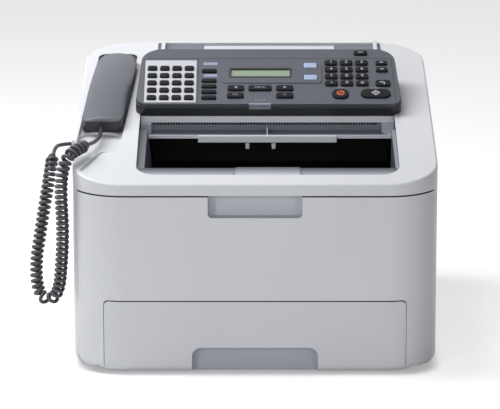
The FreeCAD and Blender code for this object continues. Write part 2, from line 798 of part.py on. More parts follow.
def rim_height(y):
    """Height of the crowned top at one depth."""
    reach = top_radius.value - S.crown_rise.value
    centre_y = reach * S.rear_rise.value / top_chord.value
    middle_z = (S.crease_height.value + S.rear_height.value) / 2
    centre_z = middle_z - reach * S.body_depth.value / top_chord.value
    return centre_z + math.sqrt(top_radius.value ** 2 - (y - centre_y) ** 2)


handset_point = Vector(S.handset_x.value, S.handset_y.value, rim_height(S.handset_y.value))
handset_frame = FreeCAD.Placement(handset_point, handset_turn)


def handset_box(u, v, w):
    """A block between limits in the handset's own frame."""
    block = fresh("Part::Box", "held")
    bind(block, Length=sized(u[1]) - u[0], Width=sized(v[1]) - v[0], Height=sized(w[1]) - w[0])
    low = Vector(sized(u[0]).value, sized(v[0]).value, sized(w[0]).value)
    block.Placement = handset_frame.multiply(FreeCAD.Placement(low, FreeCAD.Rotation()))
    return block


def cradle_pocket(width, front_reach, rear_reach, depth, front_radius, rear_radius):
    """A slot in the handset's own frame, with rounded ends."""
    half = width / 2
    slot = prism(
        [
            (-half, -front_reach, front_radius),
            (half, -front_reach, front_radius),
            (half, rear_reach, rear_radius),
            (-half, rear_reach, rear_radius),
        ],
        40,
    )
    slot.Placement = handset_frame.multiply(FreeCAD.Placement(Vector(0, 0, -depth.value), FreeCAD.Rotation()))
    return slot


handset_half = S.handset_length / 2
cradle_deep = cradle_pocket(
    S.handset_width + 2, handset_half + 22, handset_half + 3, S.cradle_depth, sized(16), sized(10)
)
cradle_rim = cradle_pocket(
    S.cradle_width, handset_half + 26, handset_half + 6, S.cradle_depth / 2 - 0.5, sized(21), sized(14)
)
ramp_reach = handset_half + 58
ramp_fall = 4.5
cradle_ramp = cradle_pocket(S.cradle_width, sized(0), sized(66), sized(0), sized(21), sized(21))
cradle_ramp.Placement = handset_frame.multiply(
    FreeCAD.Placement(Vector(0, -ramp_reach.value, -3.6), FreeCAD.Rotation(Vector(1, 0, 0), -ramp_fall))
)
cord_groove = prism([(-2.6, -44, 2.5), (2.6, -44, 2.5), (2.6, 10), (-2.6, 10)], 30)
cord_groove.Placement = handset_frame.multiply(
    FreeCAD.Placement(Vector(4, -ramp_reach.value, -5.2), FreeCAD.Rotation(Vector(0, 0, 1), -19))
)
cradle_block = box(
    (-FAR, S.bay_left), (S.handset_y - handset_half - 70, S.handset_y + handset_half + 16),
    (S.crease_height - 2.5, FAR),
)
hook_y = 12
hook_half = 4
hook_well = handset_box(
    (-hook_half - 0.2, hook_half + 0.2), (hook_y - hook_half - 0.2, hook_y + hook_half + 0.2), (-40, 0)
)
doc_slope = Slope(S.doc_front, rim_height(S.doc_front.value) + 1.5, S.doc_tilt)
doc_span = S.doc_rear - S.doc_front
doc_seat = frame_box(
    doc_slope, (S.doc_left - 6, S.doc_right + 6), (-8, doc_span + 1), (-S.doc_thick, 40)
)
doc_block = box((S.doc_left - 10, S.doc_right + 10), (S.bay_rear, FAR), (S.crease_height + 30.5, FAR))
jack_half = S.jack_size / 2
jack_hole = box(
    (-FAR, -half_width + 20), (S.jack_y - jack_half - 0.1, S.jack_y + jack_half + 0.1),
    (S.jack_z - jack_half - 0.1, S.jack_z + jack_half + 0.1),
)
top_zone = box((-FAR, FAR), (-FAR, FAR), (S.side_seam, FAR))
cover_room = box((-FAR, FAR), (-FAR, cover_back + S.seam), (0, S.cover_top + 1))
cavity = cut(common(core, top_zone), bay_block, cradle_block, doc_block)
middle_x = (S.bay_left + S.bay_right) / 2
stop_half = S.stopper_width / 2
stop_v = S.bay_front + 2.2
stop_pin_radius = 0.6
stop_pivot = rim.at(0, stop_v + 0.6, -0.75)
stop_lugs = [
    frame_box(rim, (x, x + 3.2), (S.bay_front - 1, stop_v + 2.4), (-S.bay_ledge_drop - 0.5, 0.3))
    for x in (middle_x - stop_half - 3.6, middle_x + stop_half + 0.4)
]
stop_bores = rod(
    stop_pin_radius + S.running, (middle_x - stop_half - 3, middle_x + stop_half + 3),
    stop_pivot[1], stop_pivot[2],
)
top_shell = cut(
    common(outer, top_zone), cavity, cover_room, ledge, bay_slant, bay_pit, bay_back,
    cradle_deep, cradle_rim, cradle_ramp, cord_groove, hook_well, doc_seat, jack_hole,
)
top_cover = node("top_cover", cut(fuse(top_shell, *stop_lugs), stop_bores))

# Output tray: dark sloping floor under the bay, with the paper exit at its rear
tray_low = S.bay_floor - 16
exit_y = S.bay_rear - 14
exit_z = S.bay_floor + 26
pan = box((S.bay_left, S.bay_right), (front + S.bay_front, S.bay_rear), (tray_low, S.bay_floor))
pan_slope = section(
    [
        (front + ledge_end + 4, S.bay_floor + 1),
        (front + ledge_end + 4, S.bay_floor - 1),
        (S.bay_rear - 30, S.bay_floor - 12),
        (S.bay_rear - 30, S.bay_floor + 1),
    ],
    (S.bay_left + slant, S.bay_right - 4),
)
pan_ribs = [
    section(
        [
            (front + ledge_end + 10, S.bay_floor - 3),
            (S.bay_rear - 31, S.bay_floor - 13),
            (S.bay_rear - 31, S.bay_floor - 10),
            (front + ledge_end + 10, S.bay_floor - 0.2),
        ],
        (x, x + 1.6),
    )
    for x in range(-84, 130, 24)
]
exit_wall = [
    box((S.bay_left + 1, S.bay_right - 1), (S.bay_rear - 28, S.bay_rear - 24), (S.bay_floor - 2, exit_z - 10)),
    box((S.bay_left + 1, S.bay_left + 8), (S.bay_rear - 28, S.bay_rear - 2), (S.bay_floor - 2, exit_z + 6)),
    box((S.bay_right - 8, S.bay_right - 1), (S.bay_rear - 28, S.bay_rear - 2), (S.bay_floor - 2, exit_z + 6)),
]
exit_bore = rod(shaft + S.running, (S.bay_left - 5, S.bay_right + 5), exit_y, exit_z)
output_tray = node("output_tray", cut(fuse(cut(pan, pan_slope), *(pan_ribs + exit_wall)), exit_bore))
exit_rolls = [rod(6.5, (x - 8, x + 8), exit_y, exit_z) for x in (-70, -15, 40, 95)]
exit_roller = node(
    "exit_roller", fuse(rod(shaft, (S.bay_left + 2, S.bay_right - 2), exit_y, exit_z), *exit_rolls)
)

# Paper stopper, hinged at the front of the bay ledge
stop_flap = frame_box(
    rim, (middle_x - stop_half, middle_x + stop_half), (stop_v, S.bay_front + S.bay_ledge - 1), (-1.4, -0.1)
)
stop_pin = rod(
    stop_pin_radius, (middle_x - stop_half - 2.6, middle_x + stop_half + 2.6), stop_pivot[1], stop_pivot[2]
)
output_stopper = node("output_stopper", fuse(stop_flap, stop_pin))

# Control panel hinge line, behind the document path
panel_hinge_y = S.panel_front + S.panel_length * cosine(S.panel_tilt) + 2
panel_hinge_z = S.panel_height + S.panel_length * sine(S.panel_tilt) - 26
hinge_spans = [(-112, -106), (133, 139)]

# Document scanner frame: exit trough, lip with finger tab, slot and path under the panel
path_back = S.bay_rear - 2
scan_left = S.bay_left + 0.4
scan_right = S.bay_right - 0.4
path_low = S.panel_height - 24
path_high = S.panel_height + 3
scan_profile = [
    (S.scan_front, S.scan_bottom + 3),
    (S.scan_front + 14, S.scan_bottom),
    (path_back, path_high - 12),
    (path_back, path_high),
    (S.scan_front + 18, path_low),
    (S.scan_front + 16, S.scan_bottom + 8, 3),
    (S.scan_front + 4, S.scan_bottom + 4.5),
    (S.scan_front + 2.5, S.scan_bottom + 6.5),
    (S.scan_front, S.scan_bottom + 6.5),
]
scan_body = section(scan_profile, (scan_left, scan_right))
tab_half = 71
tab = box(
    (middle_x - tab_half, middle_x + tab_half), (S.scan_front - 5, S.scan_front + 1),
    (S.scan_bottom, S.scan_bottom + 6.5),
)
band = box((scan_left, scan_right), (S.panel_front + 8, S.panel_front + 14), (path_low + 3.2, path_low + 10))
blocks = [
    box(x, (S.panel_front + 2, S.panel_front + 14), (S.scan_bottom + 4, path_low + 3.3))
    for x in ((scan_left, scan_left + 11), (scan_right - 12.5, scan_right))
]
rib = box(
    (middle_x - 0.6, middle_x + 0.6), (S.scan_front + 3, S.scan_front + 17),
    (S.scan_bottom + 3.5, path_low - 0.5),
)
brackets = []
for low, high in hinge_spans:
    arm = box((low, high), (panel_hinge_y - 5, path_back), (path_high - 12, panel_hinge_z + 5))
    brackets.append(cut(arm, rod(S.pin_radius + S.running, (low - 1, high + 1), panel_hinge_y, panel_hinge_z)))
path_slope = (path_high - path_low) / (path_back - S.scan_front - 18)
feed_y = 26
feed_z = path_low + path_slope * (feed_y - S.scan_front - 18) - 5
feed_radius = 6.5
sensor_y = 2
sensor_top = path_low + path_slope * (sensor_y - S.scan_front - 18) - 0.4
sensor_room = box((-106, 132), (sensor_y - 0.2, sensor_y + 12.2), (sensor_top - 9, FAR))
feed_room = rod(feed_radius + 0.6, (-108, 134), feed_y, feed_z)
feed_bore = rod(shaft + S.running, (scan_left - 1, scan_right + 1), feed_y, feed_z)
scanner_frame = node(
    "scanner_frame",
    cut(fuse(scan_body, tab, band, rib, *(blocks + brackets)), sensor_room, feed_room, feed_bore),
)
image_sensor = node(
    "image_sensor", box((-105.8, 131.8), (sensor_y, sensor_y + 12), (sensor_top - 9, sensor_top))
)
feed_roller = node(
    "feed_roller",
    fuse(rod(shaft, (scan_left, scan_right), feed_y, feed_z), rod(feed_radius, (-107, 133), feed_y, feed_z)),
)

# Document tray with its sliding guides and folding support
support_x = (S.doc_left + S.doc_right) / 2
support_half = S.support_width / 2
support_end = doc_span - 4
support_pin_radius = 0.7
support_pivot = doc_slope.at(0, support_end - 0.9, -1)
support_room = frame_box(
    doc_slope, (support_x - support_half - 0.4, support_x + support_half + 0.4),
    (support_end - S.support_length - 0.4, doc_span + 1), (-2.4, 10),
)
support_bore = rod(
    support_pin_radius + S.running, (support_x - support_half - 4, support_x + support_half + 4),
    support_pivot[1], support_pivot[2],
)
doc_plate = frame_box(doc_slope, (S.doc_left - 5.6, S.doc_right + 5.6), (0, doc_span), (-S.doc_thick, 0))
document_tray = node("document_tray", cut(doc_plate, support_room, support_bore))
support_flap = frame_box(
    doc_slope, (support_x - support_half, support_x + support_half),
    (support_end - S.support_length, support_end), (-1.9, -0.1),
)
support_pin = rod(
    support_pin_radius, (support_x - support_half - 3.5, support_x + support_half + 3.5),
    support_pivot[1], support_pivot[2],
)
document_support = node("document_support", fuse(support_flap, support_pin))


def document_guide(x, inward):
    fence = frame_box(
        doc_slope, (x - 2, x + 2), (doc_span - S.guide_length - 2, doc_span - 2), (0.3, S.guide_height)
    )
    reach = (x, x + 8) if inward > 0 else (x - 8, x)
    foot = frame_box(doc_slope, reach, (doc_span - S.guide_length - 2, doc_span - 30), (0.3, 1.8))
    return fuse(fence, foot)


document_guide_left = node("document_guide_left", document_guide(S.doc_left, 1))
document_guide_right = node("document_guide_right", document_guide(S.doc_right, -1))

# Control panel: dark wedge body, grey fascia and its inserts
def panel_plan(inset, low, high):
    """The panel's rounded outline between two heights above its top plane."""
    body = prism(
        [
            (S.panel_left + inset, inset, 12),
            (S.panel_right - inset, inset, 12),
            (S.panel_right - S.panel_taper - inset, S.panel_length - inset, 22),
            (S.panel_left + S.panel_taper + inset, S.panel_length - inset, 22),
        ],
        sized(high) - low,
    )
    return place(body, *panel.at(0, 0, low), angle=S.panel_tilt)


underside = Slope(S.panel_front - 20, S.panel_height - S.panel_lip - 3.6, S.panel_bottom_tilt)
above_path = frame_box(underside, (-FAR, FAR), (-20, 200), (0, 100))
panel_wedge = common(panel_plan(sized(0), -60, -S.fascia), above_path)
lens_u = (-6.3, 16.6)
lens_notch = frame_box(panel, lens_u, (-2, 2.5), (-S.fascia - 2, 1))

# Keys by name: middle across, middle up the slope, width and depth
FUNCTION_KEYS = [(-47.5, v, 15, 5.6) for v in (59.6, 41.9, 31.6, 21.5, 11.3)]
NAVIGATION_KEYS = [
    (-19.6, 28.2, 16.3, 8.6),
    (5.4, 28.2, 23.4, 8.6),
    (30.8, 28.2, 17, 8.6),
    (-20.1, 15.1, 16.3, 8.6),
    (30.8, 15.1, 17, 8.6),
]
MENU_KEYS = [(58.0, 68.8, 13.9, 8.6), (58.0, 47.0, 13.9, 8.6)]
LINE_KEYS = [(132.3, 73.9, 11.5, 7), (132.5, 61.4, 11.5, 7), (132.8, 36.9, 14.5, 10)]
TONER_KEYS = [(111.0, 92.6, 13.5, 7.4)]
STOP_KEYS = [(88.4, 17.9, 16.6, 16.6)]
START_KEYS = [(124.7, 18.4, 30.4, 15)]
NUMBER_NAMES = [
    ["key_star", "key_0", "key_hash"],
    ["key_7", "key_8", "key_9"],
    ["key_4", "key_5", "key_6"],
    ["key_1", "key_2", "key_3"],
]
number_keys = {
    NUMBER_NAMES[r][c]: (
        S.number_left + c * S.number_pitch_u, S.number_low + r * S.number_pitch_v,
        S.number_width, S.number_depth,
    )
    for r in range(4)
    for c in range(3)
}
touch_keys = [
    (S.touch_left + c * S.touch_pitch_u, S.touch_low + r * S.touch_pitch_v, S.touch_width, S.touch_depth)
    for r in range(5)
    for c in range(4)
]


def key_block(key, grow, low, high, radius):
    """A key, or with some growth the hole that it moves in."""
    u, v, width, depth = [sized(number) for number in key]
    block = frame_box(
        panel, (u - width / 2 - grow, u + width / 2 + grow), (v - depth / 2 - grow, v + depth / 2 + grow),
        (low, high),
    )
    return rounded(block, radius, along(panel.normal()))


def key_holes(keys, radius):
    return [key_block(key, S.key_gap, -S.fascia - 1, 5, sized(radius) + S.key_gap) for key in keys]


touch_span_u = 3 * S.touch_pitch_u
touch_span_v = 4 * S.touch_pitch_v
plate_u = (S.touch_left - S.touch_width / 2 - 3, S.touch_left + touch_span_u + S.touch_width / 2 + 3)
plate_v = (S.touch_low - S.touch_depth / 2 - 4, S.touch_low + touch_span_v + S.touch_depth / 2 + 12)
plate_seat = frame_box(panel, plate_u, plate_v, (-S.plate_thick, 5))
touch_window = frame_box(
    panel, (plate_u[0] + 1.5, plate_u[1] - 1.5), (plate_v[0] + 1.5, plate_v[1] - 1.5), (-S.fascia - 1, 5)
)
plain_round = [
    (FUNCTION_KEYS, S.key_radius),
    (NAVIGATION_KEYS, S.key_radius),
    (MENU_KEYS, S.key_radius),
    (LINE_KEYS, S.key_radius),
    (TONER_KEYS, S.key_radius),
    (STOP_KEYS, sized(7)),
    (START_KEYS, sized(7)),
    (list(number_keys.values()), S.key_radius),
]
holes = []
for keys, radius in plain_round:
    holes += key_holes(keys, radius)
display_u = (-34.5, 69.6)
display_v = (38, 74.6)
display_plate = rounded(
    frame_box(panel, display_u, display_v, (-S.fascia, 0.8)), 4, along(panel.normal())
)
lcd_u = (-24.6, 36.2)
lcd_v = (49.6, 62.9)
lcd_room = frame_box(
    panel, (lcd_u[0] - 0.2, lcd_u[1] + 0.2), (lcd_v[0] - 0.2, lcd_v[1] + 0.2), (-S.fascia + 1.2, 5)
)
fascia_plate = fuse(panel_plan(sized(0.8), -S.fascia, 0), display_plate)
panel_fascia = node(
    "panel_fascia", cut(fascia_plate, plate_seat, touch_window, lcd_room, lens_notch, *holes)
)
hinge_rooms = [
    box(
        (low - 0.4, high + 0.4), (panel_hinge_y - 14, panel_hinge_y + 40),
        (panel_hinge_z - 56, panel_hinge_z + 9),
    )
    for low, high in hinge_spans
]
hinge_pins = [
    rod(S.pin_radius, (low - 3, high + 3), panel_hinge_y, panel_hinge_z) for low, high in hinge_spans
]
swing_room = box((-FAR, FAR), (panel_hinge_y + 7, FAR), (0, panel_hinge_z - 1))
panel_body = node("panel_body", fuse(cut(panel_wedge, lens_notch, swing_room, *hinge_rooms), *hinge_pins))
one_touch_plate = node(
    "one_touch_plate",
    cut(
        frame_box(
            panel, (plate_u[0] + 0.1, plate_u[1] - 0.1), (plate_v[0] + 0.1, plate_v[1] - 0.1),
            (-S.plate_thick, 0.2),
        ),
        *key_holes(touch_keys, S.key_radius)
    ),
)
lcd_window = node("lcd_window", frame_box(panel, lcd_u, lcd_v, (-S.fascia + 1.2, -0.4)))
status_lens = node(
    "status_lens", frame_box(panel, (lens_u[0] + 0.1, lens_u[1] - 0.1), (-0.4, 2.4), (-S.fascia - 1.9, 0.2))
)


def key_node(label, keys, radius):
    blocks = [key_block(key, 0, -S.key_seat, S.key_rise, radius) for key in keys]
    return node(label, blocks[0] if len(blocks) == 1 else group(*blocks))


for label, key in number_keys.items():
    key_node(label, [key], S.key_radius)
key_node("stop_key", STOP_KEYS, sized(7))
key_node("start_key", START_KEYS, sized(7))
key_node("function_keys", FUNCTION_KEYS, S.key_radius)
key_node("navigation_keys", NAVIGATION_KEYS, S.key_radius)
key_node("menu_keys", MENU_KEYS, S.key_radius)
key_node("line_keys", LINE_KEYS, S.key_radius)
key_node("toner_key", TONER_KEYS, S.key_radius)
key_node("one_touch_keys", touch_keys, S.key_radius)

# Handset: an arched bar split into a top shell and a base with ear and mouth cups
handset_low = -S.cradle_depth + 0.3
handset_profile = [
    (-handset_half + 4, handset_low, 4),
    (-handset_half + 54, handset_low, 8),
    (-handset_half + 66, handset_low + 7, 20),
    (handset_half - 66, handset_low + 7, 20),
    (handset_half - 54, handset_low, 8),
    (handset_half - 8, handset_low, 4),
    (handset_half, handset_low + S.handset_thick - 7, 7),
    (handset_half - 40, handset_low + S.handset_thick, 160),
    (-handset_half + 40, handset_low + S.handset_thick, 160),
    (-handset_half, handset_low + S.handset_thick - 5, 3),
]
handset_bar = prism(handset_profile, S.handset_width, plane="YZ_Plane", middle=True)
handset_bar.Placement = handset_frame
handset_side = rounded(
    handset_bar,
    5,
    lambda middle, tangent: handset_frame.inverse().multVec(middle).z > 8 and abs(tangent.x) < 0.5,
)
grip_half = S.handset_width / 2
handset_plan = prism(
    [
        (-grip_half + 1, -handset_half, 9),
        (grip_half - 1, -handset_half, 9),
        (grip_half, 0, 1200),
        (grip_half - 1.5, handset_half, 9),
        (-grip_half + 1.5, handset_half, 9),
        (-grip_half, 0, 1200),
    ],
    80,
)
handset_plan.Placement = handset_frame.multiply(FreeCAD.Placement(Vector(0, 0, -40), FreeCAD.Rotation()))

handset_form = common(handset_side, handset_plan)
handset_seam = handset_low + S.handset_split
handset_plane = handset_box((-60, 60), (-150, 150), (handset_seam, handset_seam + 60))
handset_shell = node("handset_shell", common(handset_form, handset_plane))


def cup(along_handset):
    bar = fresh("Part::Cylinder", "cup")
    bind(bar, Radius=14, Height=2)
    bar.Placement = handset_frame.multiply(
        FreeCAD.Placement(Vector(0, along_handset, handset_low.value - 0.8), FreeCAD.Rotation())
    )
    return bar


cups = [cup(-handset_half.value + 32), cup(handset_half.value - 31)]
handset_base = node("handset_base", cut(handset_form, handset_plane, *cups))

hook_switch = node(
    "hook_switch",
    handset_box(
        (-hook_half, hook_half), (hook_y - hook_half, hook_y + hook_half),
        (handset_low - 12, handset_low + 6.7),
    ),
)

# Handset jack in the left wall, with the plug of the curly cord
jack_face = -half_width
jack_block = box(
    (jack_face + 0.6, jack_face + 15), (S.jack_y - jack_half, S.jack_y + jack_half),
    (S.jack_z - jack_half, S.jack_z + jack_half),
)
plug_half = 4
plug_room = box(
    (jack_face - 5, jack_face + 10.1), (S.jack_y - plug_half - 0.1, S.jack_y + plug_half + 0.1),
    (S.jack_z - plug_half + 0.9, S.jack_z + plug_half - 0.9),
)
handset_jack = node("handset_jack", cut(jack_block, plug_room))
plug_out = 5
cord_plug = node(
    "cord_plug",
    box(
        (jack_face - plug_out, jack_face + 10), (S.jack_y - plug_half, S.jack_y + plug_half),
        (S.jack_z - plug_half + 1, S.jack_z + plug_half - 1),
    ),
)

# Curly cord: a helix round a hanging loop from the handset to the jack
CORD_ROUTE = [
    (-156.0, -66.8, 224.7),
    (-156.6, -76.5, 221.3),
    (-157.6, -92.0, 218.9),
    (-161.0, -108.0, 218.3),
    (-166.5, -124.0, 219.5),
    (-175.0, -142.0, 219.5),
    (-186.0, -156.0, 214.5),
    (-192.0, -160.0, 197.0),
    (-193.0, -158.0, 172.0),
    (-191.8, -154.0, 146.0),
    (-192.5, -151.0, 120.0),
    (-194.5, -147.5, 96.0),
    (-196.5, -144.5, 77.0),
    (-203.0, -141.0, 63.5),
    (-214.0, -137.0, 63.0),
    (-220.0, -134.0, 76.0),
    (-220.5, -130.5, 102.0),
    (-216.0, -124.0, 130.0),
    (-211.5, -116.0, 158.0),
    (-207.5, -107.0, 182.0),
    (-205.0, -95.0, 199.0),
    (-203.0, -78.0, 206.5),
    (-198.0, -63.0, 206.0),
    (-187.6, -60.0, 206.0),
]
CURL_START = 62
CURL_END = 36
CURL_RAMP = 9
LEAST_GAP = 0.7
EDGE_OF_ROUTE = 194.5
cord_lift = S.crease_height.value - EDGE_OF_ROUTE
poles = [Vector(x, y, z + cord_lift) for x, y, z in CORD_ROUTE]
centre_line = Part.BSplineCurve()
spans = len(poles) - 2
centre_line.buildFromPolesMultsKnots(poles, [3] + [1] * (spans - 1) + [3], list(range(spans + 1)), False, 2)
cord_length = centre_line.length()
coil_radius = S.coil.value / 2
wire_radius = S.wire.value / 2
STEP = 0.25


def smooth(t):
    t = min(max(t, 0.0), 1.0)
    return t * t * (3 - 2 * t)


def walk_cord():
    """Points of the wire along the loop, with the number of turns made so far."""
    samples = []
    side = Vector(1, 0, 0)
    turns = 0.0
    total = int(cord_length / STEP)
    for k in range(total + 1):
        where = k * cord_length / total
        at = centre_line.parameterAtDistance(where, 0)
        point = centre_line.value(at)
        ahead = Vector(centre_line.tangent(at)[0]).normalize()
        side = (side - ahead * side.dot(ahead)).normalize()
        bend = coil_radius * centre_line.curvature(at)
        pitch = max(S.coil_pitch.value, (S.wire.value + LEAST_GAP) / (1 - bend) * 1.02)
        swell = smooth((where - CURL_START) / CURL_RAMP)
        swell *= smooth((cord_length - CURL_END - where) / CURL_RAMP)
        inside = CURL_START < where < cord_length - CURL_END
        turns += STEP / pitch if inside else 0.0
        angle = 2 * math.pi * turns
        out = side * math.cos(angle) + ahead.cross(side) * math.sin(angle)
        samples.append((point + out * (coil_radius * swell), turns))
    return samples


def biarc(start, start_way, end, end_way):
    """Two tangent arcs between two points with given directions."""
    chord = end - start
    both = start_way + end_way
    a = 2 * (start_way.dot(end_way) - 1)
    b = -2 * chord.dot(both)
    c = chord.dot(chord)
    reach = -c / b if abs(a) < 1e-6 else (-b - math.sqrt(b * b - 4 * a * c)) / (2 * a)
    first = start + start_way * reach
    last = end - end_way * reach
    join = (first + last) * 0.5
    edges = []
    for low, knee, high in ((start, first, join), (join, last, end)):
        middle = (low + high) * 0.5
        half = (high - low).Length / 2
        rise = (knee - middle).Length
        if rise < 1e-3 * half:
            edges.append(Part.LineSegment(low, high).toShape())
            continue
        top = middle + (knee - middle) * (half * math.tan(math.atan2(rise, half) / 2) / rise)
        edges.append(Part.Arc(low, top, high).toShape())
    return edges


def cord_knots(samples):
    """Every half turn of the curls, and every few millimetres of the plain ends."""
    knots = [0]
    for k in range(1, len(samples) - 1):
        turned = samples[k][1] - samples[knots[-1]][1]
        still = turned == 0 and samples[k + 1][1] == samples[k][1]
        if turned >= 0.5 or (still and (k - knots[-1]) * STEP >= 9):
            knots.append(k)
    knots.append(len(samples) - 1)
    return knots


samples = walk_cord()
knots = cord_knots(samples)
last = len(samples) - 1
ways = [(samples[min(k + 1, last)][0] - samples[max(k - 1, 0)][0]).normalize() for k in knots]
cord_edges = []
for k in range(len(knots) - 1):
    cord_edges += biarc(samples[knots[k]][0], ways[k], samples[knots[k + 1]][0], ways[k + 1])
cord_wire = Part.Wire(cord_edges)
ring = Part.Wire([Part.Circle(samples[0][0], ways[0], wire_radius).toShape()])
sweep = Part.BRepOffsetAPI.MakePipeShell(cord_wire)
sweep.add(ring)
sweep.build()
sweep.makeSolid()
cord = fresh("Part::Feature", "cord")
cord.Shape = sweep.shape()
handset_cord = node("handset_cord", cord)
tested = cord_wire.discretize(Distance=0.8)
clear = 3 * S.wire.value
gap = min(
    (tested[i] - tested[j]).Length
    for i in range(len(tested))
    for j in range(i + int(clear / 0.8), min(len(tested), i + 120))
) - S.wire.value
section_area = math.pi * wire_radius ** 2
print("cord: wire length %.0f mm, %.1f turns, least gap %.2f mm, volume ratio %.4f" % (
    cord_wire.Length, samples[-1][1], gap, cord.Shape.Volume / (section_area * cord_wire.Length)))

doc.recompute()
for item in doc.Objects:
    if "Invalid" in item.State or "Error" in item.State:
        raise RuntimeError("failed: %s %s %s" % (item.Name, item.Label, item.State))
os.makedirs("parts", exist_ok=True)
for item in nodes:
    if item.Shape.isNull() or not item.Shape.isValid():
        raise RuntimeError("bad shape: %s" % item.Label)
    item.Shape.exportStep("parts/%s.step" % item.Label)
print("%d nodes" % len(nodes))
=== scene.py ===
import math

import bmesh
import bpy
from mathutils import Matrix, Vector


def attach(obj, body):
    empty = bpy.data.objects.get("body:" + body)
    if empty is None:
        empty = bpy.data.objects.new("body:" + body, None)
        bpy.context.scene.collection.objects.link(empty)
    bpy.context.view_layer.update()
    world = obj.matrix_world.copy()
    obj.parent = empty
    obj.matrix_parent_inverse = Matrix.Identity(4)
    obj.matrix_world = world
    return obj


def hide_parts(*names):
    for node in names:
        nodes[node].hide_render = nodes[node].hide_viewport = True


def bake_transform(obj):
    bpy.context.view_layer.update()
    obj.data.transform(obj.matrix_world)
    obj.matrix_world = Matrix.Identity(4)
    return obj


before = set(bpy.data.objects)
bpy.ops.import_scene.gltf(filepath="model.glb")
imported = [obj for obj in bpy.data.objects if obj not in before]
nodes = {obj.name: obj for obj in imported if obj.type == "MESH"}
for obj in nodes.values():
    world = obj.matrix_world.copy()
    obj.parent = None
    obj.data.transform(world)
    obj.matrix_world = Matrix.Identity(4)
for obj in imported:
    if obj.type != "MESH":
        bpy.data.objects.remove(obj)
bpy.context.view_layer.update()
MM = 0.001


def linear(red, green, blue):
    """Linear colour from display values of 0 to 255."""
    out = []
    for value in (red, green, blue):
        c = value / 255
        out.append(c / 12.92 if c <= 0.04045 else ((c + 0.055) / 1.055) ** 2.4)
    return out + [1.0]


# Materials
NOISE_LOW = 0.3
NOISE_HIGH = 0.7
GRAIN_DEPTH = 0.00025


class Tree:
    """A material's node tree, with short ways to add and join nodes."""

    def __init__(self, name):
        self.material = bpy.data.materials.new(name)
        self.material.use_nodes = True
        self.tree = self.material.node_tree
        self.shader = self.tree.nodes["Principled BSDF"]
        self.place = self.add("ShaderNodeTexCoord").outputs["Object"]

    def add(self, kind, **values):
        made = self.tree.nodes.new(kind)
        for key, value in values.items():
            setattr(made, key, value)
        return made

    def join(self, out, into):
        self.tree.links.new(out, into)

    def noise(self, scale, detail=3.0, stretch=None):
        made = self.add("ShaderNodeTexNoise")
        made.inputs["Scale"].default_value = scale
        made.inputs["Detail"].default_value = detail
        place = self.place
        if stretch:
            mapping = self.add("ShaderNodeMapping")
            mapping.inputs["Scale"].default_value = stretch
            self.join(place, mapping.inputs["Vector"])
            place = mapping.outputs["Vector"]
        self.join(place, made.inputs["Vector"])
        return made.outputs["Fac"]

    def ramp(self, factor, stops):
        made = self.add("ShaderNodeValToRGB")
        low, high = made.color_ramp.elements[0], made.color_ramp.elements[1]
        low.position, low.color = stops[0]
        high.position, high.color = stops[-1]
        for position, color in stops[1:-1]:
            made.color_ramp.elements.new(position).color = color
        self.join(factor, made.inputs["Fac"])
        return made.outputs["Color"]

    def span(self, factor, low, high):
        made = self.add("ShaderNodeMapRange")
        made.inputs["From Min"].default_value = NOISE_LOW
        made.inputs["From Max"].default_value = NOISE_HIGH
        made.inputs["To Min"].default_value = low
        made.inputs["To Max"].default_value = high
        self.join(factor, made.inputs["Value"])
        return made.outputs["Result"]

    def color(self, factor, stops):
        self.join(self.ramp(factor, stops), self.shader.inputs["Base Color"])

    def rough(self, factor, low, high):
        self.join(self.span(factor, low, high), self.shader.inputs["Roughness"])

    def relief(self, height, strength, distance, edge):
        """Surface grain over softly rounded edges."""
        bump = self.add("ShaderNodeBump")
        bump.inputs["Strength"].default_value = strength
        bump.inputs["Distance"].default_value = distance
        self.join(height, bump.inputs["Height"])
        if edge:
            soft = self.add("ShaderNodeBevel", samples=4)
            soft.inputs["Radius"].default_value = edge
            self.join(soft.outputs["Normal"], bump.inputs["Normal"])
        self.join(bump.outputs["Normal"], self.shader.inputs["Normal"])


def tint(color, factor):
    return [min(1.0, c * factor) for c in color[:3]] + [1.0]


def plastic(
    name, color, rough=0.45, grain=2600, strength=0.12, vary=0.035, edge=0.0009, coat=0.0, gloss=0.45
):
    """Moulded plastic with a fine spark grain, slight colour drift and uneven gloss."""
    tree = Tree(name)
    drift = tree.noise(9, 4)
    tree.color(drift, [(NOISE_LOW, tint(color, 1 - vary)), (NOISE_HIGH, tint(color, 1 + vary))])
    tree.rough(tree.noise(38, 3), rough - 0.025, rough + 0.025)
    tree.relief(tree.noise(grain, 2), strength, GRAIN_DEPTH, edge)
    tree.shader.inputs["Specular IOR Level"].default_value = gloss
    if coat:
        tree.shader.inputs["Coat Weight"].default_value = coat
        tree.shader.inputs["Coat Roughness"].default_value = 0.18
    return tree.material


def metal(name, color):
    """Rolled sheet with fine lines along X."""
    tree = Tree(name)
    lines = tree.noise(60, 4, stretch=(2, 60, 60))
    tree.color(lines, [(NOISE_LOW, tint(color, 0.85)), (NOISE_HIGH, tint(color, 1.1))])
    tree.rough(lines, 0.24, 0.42)
    tree.relief(lines, 0.15, 0.0001, 0.0003)
    tree.shader.inputs["Metallic"].default_value = 1.0
    return tree.material


SEAM_REACH = 0.004


def painted_seam_shade(name, color):
    """Cover plastic with painted shade: dark where another piece lies close to it, as in a narrow seam."""
    tree = Tree(name)
    near = tree.add("ShaderNodeAmbientOcclusion", samples=8)
    near.inputs["Distance"].default_value = SEAM_REACH
    tree.color(near.outputs["AO"], [(0.6, tint(color, 0.02)), (0.95, color)])
    tree.rough(tree.noise(38, 3), 0.4, 0.5)
    tree.relief(tree.noise(2600, 2), 0.12, GRAIN_DEPTH, 0.0)
    tree.shader.inputs["Specular IOR Level"].default_value = 0.1
    return tree.material


